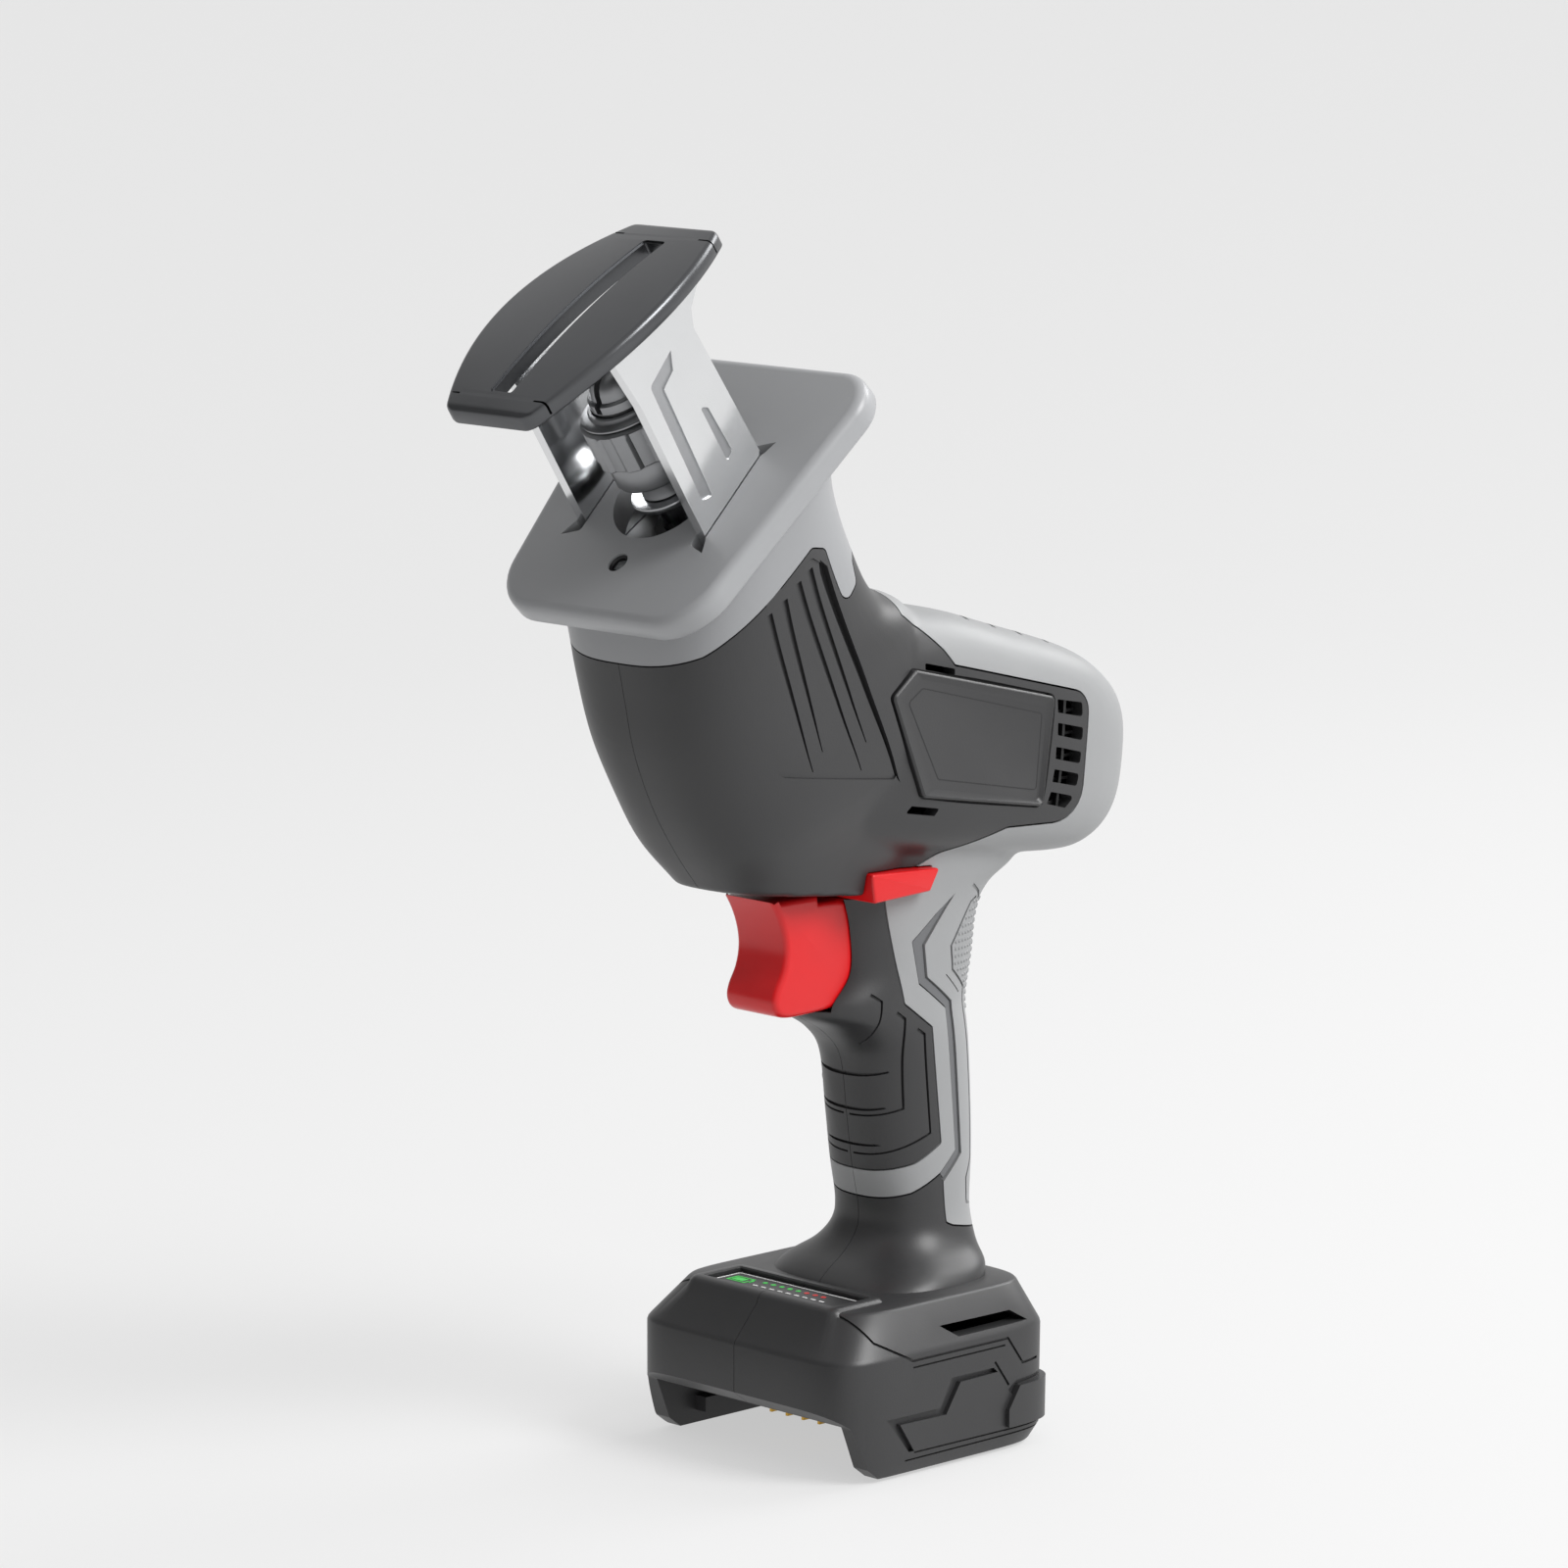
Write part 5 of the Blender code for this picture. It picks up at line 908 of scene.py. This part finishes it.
flutes, screws, bumps, rows = fluteTree(), screwTree(), bumpTree(), rowTree()
print("node trees built")


# Flange: the grey plate that the shoe's legs come through

flange = {"lowHalf": 36.5, "highHalf": 46.5, "length": 84.5, "edge": 2.8, "hole": 16.0,
          "lampHole": 2.9, "lampAt": 17.0, "legInner": 20.2, "legOuter": 23.8, "legHalf": 15.2}
flangeOutline = rounded([(-flange["lowHalf"], 0), (flange["lowHalf"], 0),
                         (flange["highHalf"], flange["length"]),
                         (-flange["highHalf"], flange["length"])], [16, 16, 12, 12], 12)
steps = [(1.4, -7.5), (0.5, -7.1), (0.0, -6.3)]
for i in range(7):
    angle = pi / 2 * i / 6
    steps.append((flange["edge"] * (1 - cos(angle)), -flange["edge"] * (1 - sin(angle))))
flangePlate = loft("flangePlate", [[(x, y, height) for x, y in pushed(flangeOutline, -inset)] for inset,
                                   height in steps], guardFrame)
openings = [rod("bladeHole", flange["hole"], 50, 110, bladeFrame, steps=72),
            rod("lampHole", flange["lampHole"], -20, 5, guardFrame, (0, flange["lampAt"]), 32)]
for side in (1, -1):
    inner, outer, long = flange["legInner"], flange["legOuter"], flange["legHalf"]
    slotOutline = [(inner, -long), (inner + 0.4, -long - 0.8), (outer + 2.2, -long - 2.6),
                   (outer + 0.6, -long + 1.2), (outer, -long + 2.0),
                   (outer, long - 2.0), (outer + 0.6, long - 1.2), (outer + 2.2, long + 2.6),
                   (inner + 0.4, long + 0.8), (inner, long)]
    openings.append(prism("legSlot", [(side * x, y) for x, y in slotOutline], 50, 110, bladeFrame))
for opening in openings:
    carve(flangePlate, opening)
finished(flangePlate, absFlange, "housing", "guard_metal", "front_guard")
lampRing = lathe("lampRing", [(2.85, -0.6), (2.85, -2.2), (2.3, -2.2), (2.3, -1.2)], guardFrame,
                 (0, flange["lampAt"]), 32)
finished(lampRing, nylonBlack, "housing", "black_plastic")


# Shoe: a curved plate with a slot, on two plated legs

shoe = {"halfLength": 38.7, "endHalf": 15.0, "swell": 11.5, "rise": 128.4, "arch": 3.0, "thick": 4.5,
        "edge": 1.5,
        "slotHalf": 3.3, "slot": (-31.0, 30.0), "legOut": 23.5, "legIn": 20.5, "legTop": 126.1}


def edgeDrop(distance, radius):
    return radius - (radius ** 2 - (radius - distance) ** 2) ** 0.5 if distance < radius else 0.0


shoeRings = []
ends = [0, 0.15, 0.4, 0.75, 1.1, 1.5, 2.2]
stations = [-shoe["halfLength"] + e for e in ends] + [-36 + 2 * i
                                                      for i in range(37)][1:-1] + [shoe["halfLength"] - e
                                                                                   for e in ends[::-1]]
for along in sorted(set(stations)):
    share = 1 - (along / shoe["halfLength"]) ** 2
    fromEnd = shoe["halfLength"] - abs(along)
    half = shoe["endHalf"] + shoe["swell"] * share - edgeDrop(fromEnd, 2.2)
    top = shoe["rise"] + shoe["arch"] * share
    low = top - shoe["thick"]
    edge = shoe["edge"]
    top -= edgeDrop(fromEnd, edge)
    right = [(half - edge * (1 - cos(a)), top - edge * (1 - sin(a)))
             for a in [pi / 2 * i / 5 for i in range(6)]]
    section = [(half - 0.5, low), (half, low + 0.5)] + right
    shoeRings.append([(x, along, z) for x, z in section] + [(-x, along, z) for x, z in section[::-1]])
shoePlate = loft("shoePlate", shoeRings, bladeFrame)
slotOutline = rounded([(-shoe["slotHalf"], shoe["slot"][0]), (shoe["slotHalf"], shoe["slot"][0]),
                       (shoe["slotHalf"], shoe["slot"][1]), (-shoe["slotHalf"], shoe["slot"][1])], 0.5, 4)
carve(shoePlate, carve(prism("slotRim", pushed(slotOutline, 0.7), 120, 140, bladeFrame),
                       sunk(shoePlate, "slotRimFloor", 0.5)))
carve(shoePlate, prism("shoeSlot", slotOutline, 110, 140, bladeFrame))
marks = [block("mark", sorted((side * 12.0, side * 26.0)), (b, b + 0.55), (125.6, 136), bladeFrame)
         for b in (-33.6, 32.6) for side in (1, -1)]
inside = [block("keep", (-13.6, 13.6), (b - 1, b + 2), (120, 140), bladeFrame) for b in (-33.6, 32.6)]
carve(shoePlate, carve(gathered("marks", marks), gathered("keepMarks", inside)))
finished(shoePlate, steelBlued, "housing", "steel", "shoe", angle=50)
legTop = shoe["legTop"]
legOutline = rounded([(50, -13), (legTop - 14, -12.5), (legTop, -14), (legTop + 1.8, -14), (legTop + 1.8, 19.5),
                      (legTop, 19), (legTop - 3.5, 14.5),
                      (legTop - 8, 12.5), (76, 14), (50, 14)], [1, 6, 0, 0, 0, 0, 1.5, 4, 20, 1], 5)
chevron = [(118.0, 3.2), (113.4, 1.1), (111.4, -3.9), (79.2, -5.2), (80.2, -8.7), (114.5, -7.3)]
pocket = [(100.2, 3.5), (98.4, 5.6), (84.5, 6.4), (83.2, 3.6)]
for sideName, side in (("Left", 1), ("Right", -1)):
    leg = prism("shoeLeg" + sideName, legOutline, *sorted((side * shoe["legIn"], side * shoe["legOut"])),
                legFrame)
    face = shoe["legOut"] - 0.55
    for groove in (rounded(chevron, [0, 0, 1, 0.6, 0.6, 1.5], 4), rounded(pocket, 0.5, 3)):
        carve(leg, prism("pressing", groove, *sorted((side * face, side * 40)), legFrame))
    carve(leg, rod("legScrewHole", 2.3, *sorted((side * 15, side * 30)), legFrame, (55, 0), 32))
    # a dull sheet on the floor of each pressing: its rougher finish is the press's, its darker colour is
    # painted shade in the hollow
    for name, groove in (("chevron", rounded(chevron, [0, 0, 1, 0.6, 0.6, 1.5], 4)),
                         ("pressedBar", rounded(pocket, 0.5, 3))):
        dullAndShadedSheet = prism(name + sideName, pushed(groove, -0.02), *sorted((side * (face - 0.2),
                                                                      side * (face + 0.03))), legFrame)
        finished(dullAndShadedSheet, nickelPressedDullAndShaded, "housing", "steel")
    soften = leg.modifiers.new("soften", "BEVEL")
    soften.width, soften.segments, soften.limit_method, soften.angle_limit = 0.28 * mm, 2, "ANGLE", radians(40)
    bake(leg)
    finished(leg, nickelBright, "housing", "steel", angle=15)
print("flange and shoe")


# Blade clamp: a fluted sleeve turns round the steel nose

clamp = {"flutes": 9, "fluteDepth": 0.9}
noseProfile = [(0, 113), (1.6, 112.9), (2.9, 112.6), (4.2, 112.0), (5.3, 111.1), (6.1, 110.0), (6.6, 108.7),
               (6.8, 107.4), (7.0, 106.9),
               (7.9, 106.7), (8.2, 106.4), (8.3, 104.2), (8.0, 103.8), (8.0, 81), (6.6, 79.5), (6.4, 77.0),
               (6.6, 75.9), (5.3, 75.9), (5.3, 81), (0, 81)]
nose = carve(lathe("clampNose", noseProfile, bladeFrame), block("bladeSlit", (-1.0, 1.0), (-20, 20),
                                                                (104.4, 118), bladeFrame))
finished(nose, steelTurned, "plunger_body", "dark_steel", "blade_clamp")
collarProfile = [(12.1, 101.3), (12.1, 101.7), (11.6, 102.0), (9.8, 102.2), (9.6, 102.4), (9.6, 103.2),
                 (9.3, 103.5), (8.6, 103.5), (8.6, 101.3)]
finished(lathe("clampRing", collarProfile, bladeFrame), steelTurned, "plunger_body", "steel", "clamp_ring")
finished(lathe("chuckWasher", filleted([(5.3, 75.6), (9.8, 75.6), (10.0, 75.2), (10.0, 74.0), (5.3, 74.0)],
                                       0.15, 3), bladeFrame), steelRim,
         "plunger_body", "steel", "chuck_washer")
sleeveProfile = ([(8.6, 81.3), (10.2, 81.3), (10.8, 81.6), (11.1, 82.2), (11.1, 88.2), (10.9, 88.6),
                  (11.0, 88.95), (12.7, 89.2), (13.0, 89.5)]
                 + [(13.0, 90.0 + 0.95 * i) for i in range(1, 11)] + [(12.9, 100.2), (12.4, 100.7),
                                                                      (11.6, 101.0), (8.6, 101.0)])
sleeve = lathe("clampSleeve", sleeveProfile, localFrame, steps=144)
runTree(sleeve, flutes, {"Count": clamp["flutes"], "Depth": clamp["fluteDepth"] * mm, "Low": 88.8 * mm,
                         "High": 100.0 * mm, "Wall": 12.0 * mm,
                         "Material": steelTurned})
finished(settled(sleeve, bladeFrame), steelTurned, "sleeve_body", "dark_steel", "clamp_sleeve", angle=30)
print("clamp turned")


# Trigger and lock bar

trigger = {"half": 9.5, "edge": 1.7}


def curved(points, steps=4):
    # an open path through its points, filled in smoothly
    rows = [Vector(point) for point in points]
    filled = []
    for i in range(len(rows) - 1):
        a, b = rows[i], rows[i + 1]
        before, after = rows[max(0, i - 1)], rows[min(len(rows) - 1, i + 2)]
        for step in range(steps):
            t = step / steps
            filled.append(tuple(0.5 * (2 * a + (b - before) * t + (2 * before - 5 * a + 4 * b - after) * t ** 2
                                       + (3 * a - before - 3 * b + after) * t ** 3)))
    return filled + [tuple(rows[-1])]


triggerOutline = curved([(-9.0, 148.0), (-6.6, 144.0), (-4.7, 139.0), (-4.1, 134.0), (-5.2, 129.0),
                         (-7.6, 124.6), (-8.3, 121.2), (-6.8, 118.2),
                         (-3.0, 117.0), (4.0, 117.0)]) + [(24.0, 117.9), (24.0, 145.9), (8.0, 145.9),
                                                          (7.6, 148.0)]


def softPrism(name, outline, half, edge, place=sideFrame, low=None):
    low = -half if low is None else low
    turns = [pi / 2 * i / 5 for i in range(6)]
    ringsOut = [(edge * (1 - sin(a)), low + edge * (1 - cos(a)))
                for a in turns] + [(edge * (1 - cos(a)), half - edge * (1 - sin(a))) for a in turns]
    return loft(name, [[(x, y, height) for x, y in pushed(outline, -inset)] for inset, height in ringsOut],
                place)


triggerBlock = softPrism("triggerBlock", triggerOutline, trigger["half"], trigger["edge"])
finished(triggerBlock, acetalRed, "trigger_body", "red_plastic", "trigger", angle=50)
lockOutline = rounded(lockSection, 0.7, 4)
lockBlock = softPrism("lockBlock", lockOutline, 21.5, 0.7, low=-17.5)
finished(lockBlock, acetalRed, "lock_body", "red_plastic", "lock_bar", angle=25)
print("trigger and lock")


# Badges: a border that slopes in to a flat face with a thin line, no mark on it

badge = {"floor": 26.8, "border": 29.0, "face": 28.1}
badgeInner = [(26.2, 204.6), (20.0, 200.0), (30.4, 175.5), (69.9, 167.9), (72.7, 192.8)]
badgeLine = [(26.6, 202.2), (21.2, 198.9), (32.2, 177.6), (68.9, 170.6), (71.0, 190.9)]
for sideName, side in (("Left", 1), ("Right", -1)):
    outer, inner = pushed(rounded(badgeOutline, 1.8), -0.1), rounded(badgeInner, 1.4)
    levels = [(outer, badge["floor"]), (outer, 28.5), (pushed(outer, -0.25), 28.85),
              (pushed(outer, -0.6), badge["border"]), (inner, badge["face"])]
    plate = loft("badge" + sideName, [[(y, z, side * x) for y, z in edgeLine] for edgeLine, x in levels],
                 sideFrame)
    line = rounded(badgeLine, 1.2)
    rim = carve(prism("rim", line, *sorted((side * 27.0, side * 28.14))),
                prism("rimInside", pushed(line, -0.3), *sorted((side * 26.0, side * 29))))
    finished(plate, nylonDark, "housing", "black_plastic", "side_badge_" + sideName.lower())
    finished(rim, nylonBlack, "housing", "black_plastic")
    rim.name = "badgeLine" + sideName

# Louvre slats and one upright rib behind each set of air slots
slat = {"count": 5, "step": (0, 0.6, -5.95)}
for sideName, side in (("Left", 1), ("Right", -1)):
    upright = prism("ventRib" + sideName, strip([(82.2, 193.4), (81.3, 178.0), (79.2, 164.4)], 0.9),
                    *sorted((side * 22.6, side * 25.6)))
    finished(upright, nylonBlack, "housing", "black_plastic")
    fin = block("ventSlats" + sideName, sorted((side * 22.0, side * 24.4)), (73.6, 88.2), (189.4, 190.2),
                localFrame)
    runTree(fin, rows, {"Count": slat["count"], "Step": [v * mm for v in slat["step"]], "Material": nylonBlack})
    finished(settled(fin, plainFrame), nylonBlack, "housing", "black_plastic")


# Charge display: dark window, battery sign, and two rows of lights

window = block("displayWindow", (-display["x"], display["x"]), display["y"], (deck - 1.2, deck - 0.2))
finished(window, nylonBlack, "housing", "black_plastic", "charge_indicator")
inkTop = (deck - 0.25, deck - 0.12)


def printed(name, outline, look, hole=None):
    mark = prism(name, outline, *inkTop, plainFrame)
    if hole:
        carve(mark, prism("hole", hole, deck - 3, deck + 3, plainFrame))
    return finished(mark, look, "housing", "black_plastic")


frameLine = rounded([(-22.6, -0.2), (22.6, -0.2), (22.6, 9.9), (-22.6, 9.9)], 0.8)
printed("displayLine", frameLine, inkWhite, pushed(frameLine, -0.35))
sign = [(-20.4, 2.6), (-13.6, 2.6), (-13.6, 3.9), (-12.8, 3.9), (-12.8, 5.8), (-13.6, 5.8), (-13.6, 7.1),
        (-20.4, 7.1)]
printed("batterySign", sign, inkGreen, pushed(sign, -0.5))
printed("batteryLevel", [(-19.4, 3.6), (-15.4, 3.6), (-15.4, 6.1), (-19.4, 6.1)], inkGreen)
lights = {"step": 3.1, "radius": 0.75}
for name, count, startX, y, look in (("greenLights", 5, -9.6, 6.6, inkGreen),
                                     ("redLights", 3, 6.0, 6.6, inkRed)):
    dot = rod(name, lights["radius"], inkTop[0], inkTop[1], localFrame, (startX, y), 20)
    runTree(dot, rows, {"Count": count, "Step": (lights["step"] * mm, 0, 0), "Material": look})
    finished(settled(dot, plainFrame), look, "housing", "black_plastic")
bar = block("displayBars", (-10.4, -8.8), (2.6, 3.2), inkTop, localFrame)
runTree(bar, rows, {"Count": 9, "Step": (lights["step"] * mm, 0, 0), "Material": inkWhite})
finished(settled(bar, plainFrame), inkWhite, "housing", "black_plastic")
print("badges and display")


# Screws: every head and shank in one go, driven in from the right, and one in each leg

heads = pointsOnly("housingScrews", [sawShift + Vector((-12.25, y, z)) * mm for y, z in screwPlaces.values()])
heads.data.attributes.new("side", "FLOAT", "POINT").data.foreach_set("value", [-1.0] * len(screwPlaces))
runTree(heads, screws, {"Head Radius": 3.0 * mm, "Head Height": 2.1 * mm, "Socket Radius": 1.6 * mm,
                        "Shank Radius": 1.5 * mm, "Length": 21.9 * mm,
                        "Material": steelDark})
finished(heads, steelDark, "housing", "dark_steel", *screwPlaces)
legPoints = [bladeFrame @ (Vector((side * 24.9, 0, 55)) * mm) + sawShift for side in (1, -1)]
legHeads = pointsOnly("legScrews", legPoints)
legHeads.data.attributes.new("side", "FLOAT", "POINT").data.foreach_set("value", [1.0, -1.0])
runTree(legHeads, screws, {"Head Radius": 4.0 * mm, "Head Height": 2.2 * mm, "Socket Radius": 2.2 * mm,
                           "Shank Radius": 2.0 * mm, "Length": 9.8 * mm,
                           "Material": steelDark})
finished(legHeads, steelDark, "housing", "dark_steel", "shoe_screw_left", "shoe_screw_right")

# Palm patch: rows of low bumps round the back of the grip, behind its border
palm = {"step": 1.9, "radius": 0.66, "height": 0.45, "low": 112.0, "high": 141.0}
borderHeights = [59.0, 67.0, 86.5, 118.2, 123.8, 130.3, 140.8, 143.0]
borderDepths = [57.0, 57.0, 60.0, 57.8, 51.2, 50.4, 59.2, 61.0]
starts, aims, borders = [], [], []
middle = sawShift + Vector((0, 46, 0)) * mm
level = palm["low"]
while level < palm["high"]:
    edge = float(np.interp(level, borderHeights, borderDepths)) * mm + sawShift.y
    for i in range(-17, 18):
        turn = radians(i * 5.2)
        outward = Vector((sin(turn), cos(turn), 0))
        starts.append(middle + outward * 0.045 + Vector((0, 0, level * mm)))
        aims += list(-outward)
        borders.append(edge)
    level += palm["step"]
patch = pointsOnly("palmBumps", starts)
patch.data.attributes.new("aim", "FLOAT_VECTOR", "POINT").data.foreach_set("vector", aims)
patch.data.attributes.new("border", "FLOAT", "POINT").data.foreach_set("value", borders)
runTree(patch, bumps, {"Skin": upper, "Radius": palm["radius"] * mm, "Height": palm["height"] * mm,
                       "Material": rubberGrey})
finished(patch, rubberGrey, "housing", "grey_plastic")
print("screws and palm patch", len(patch.data.polygons))
bpy.data.objects.remove(upper)


# The parts inside keep their own shapes, in their real materials

insideLooks = {"dark_plastic": nylonDark, "grey_plastic": rubberGrey, "collar_plastic": absGrey,
               "red_plastic": acetalRed,
               "black_plastic": nylonBlack, "steel": steelRim, "dark_steel": steelDark, "cast_metal": castZinc,
               "guard_metal": absFlange,
               "copper": copperDrawn, "brass": brassPlain, "carbon": carbonBlock, "rubber": rubberBlack,
               "clear_lens": lampClear,
               "circuit_board": boardGreen}
for part in frame["record"]["subparts"]:
    for holder in frame["nodes"][part["node"]].material_slots:
        holder.material = insideLooks[part["material_slot"]]


# Studio: one pale sweep all round, a broad light high on the right and a weak one on the left

# shade, shadeFrom, shadeTo and shadeSide set the painted shade in the backdrop's glow
studio = {"floorRadius": 2600, "wallHeight": 2600, "bend": 1200, "tone": "#8f8f8f", "glow": "#f0f0f0",
          "glowStrength": 0.62,
          "shade": "#141414", "shadeFrom": 0.6, "shadeTo": 1.7, "shadeSide": (-0.45, -0.89),
          "worldStrength": 0.7}
# Matt paper with a glow of its own, and painted shade in that glow: it darkens towards the left, which keeps
# the nose's front dark
paper = finish("matteBackdropPaperPaintedShade", studio["tone"], 0.9, patches=(400, 0.004, 0.02))
paperTree = paper.node_tree
paperShader = paperTree.nodes["Principled BSDF"]
paperShader.inputs["Specular IOR Level"].default_value = 0.0
paperShader.inputs["Emission Strength"].default_value = studio["glowStrength"]
spot = addNode(paperTree, "ShaderNodeTexCoord").outputs["Object"]
along = addNode(paperTree, "ShaderNodeVectorMath", {"operation": "DOT_PRODUCT", 1: (*studio["shadeSide"], 0.0)},
                {0: spot})
share = addNode(paperTree, "ShaderNodeMapRange", {"interpolation_type": "SMOOTHSTEP",
                                                  "From Min": studio["shadeFrom"],
                                                  "From Max": studio["shadeTo"]},
                {"Value": along.outputs["Value"]})
# painted shade: the glow blends to the shade colour towards the left, so less light falls on the saw's
# left-facing sides
glow = addNode(paperTree, "ShaderNodeMix", {"data_type": "RGBA"}, {0: share.outputs["Result"]})
glow.inputs[6].default_value = linear(studio["glow"])
glow.inputs[7].default_value = linear(studio["shade"])
paperTree.links.new(glow.outputs[2], paperShader.inputs["Emission Color"])
radius, bend = studio["floorRadius"], studio["bend"]
sweep = [(0, -1.0)] + [(radius - bend + bend * sin(pi / 2 * i / 16), -1.0 + bend * (1 - cos(pi / 2 * i / 16)))
                       for i in range(17)]
sweep += [(radius, studio["wallHeight"]), (radius + 20, studio["wallHeight"]), (radius + 20, -20), (0, -20)]
backdrop = lathe("backdrop", sweep, steps=96)
eased(backdrop)
backdrop.data.materials.append(paper)
world = bpy.data.worlds.new("studio")
world.use_nodes = True
sky = world.node_tree.nodes["Background"]
sky.inputs["Color"].default_value = linear("#ffffff")
sky.inputs["Strength"].default_value = studio["worldStrength"]
bpy.context.scene.world = world
bpy.context.scene.view_settings.view_transform = "Standard"
lamps = {  # place in metres, size in metres, watts
    "keyLight": ((1.3, 0.5, 1.35), 0.9, 30.0),
    "rimLight": ((0.1, 1.5, 1.2), 0.8, 12.0),
    "fillLight": ((-0.9, -1.3, 0.9), 1.0, 0.25),
}
for name, (place, size, power) in lamps.items():
    light = bpy.data.lights.new(name, "AREA")
    light.energy, light.size = power, size
    lamp = bpy.data.objects.new(name, light)
    lamp.location = place
    lamp.rotation_euler = (Vector(place) - Vector((0, 0, 0.17))).to_track_quat("Z", "Y").to_euler()
    bpy.context.collection.objects.link(lamp)
print("studio lit")
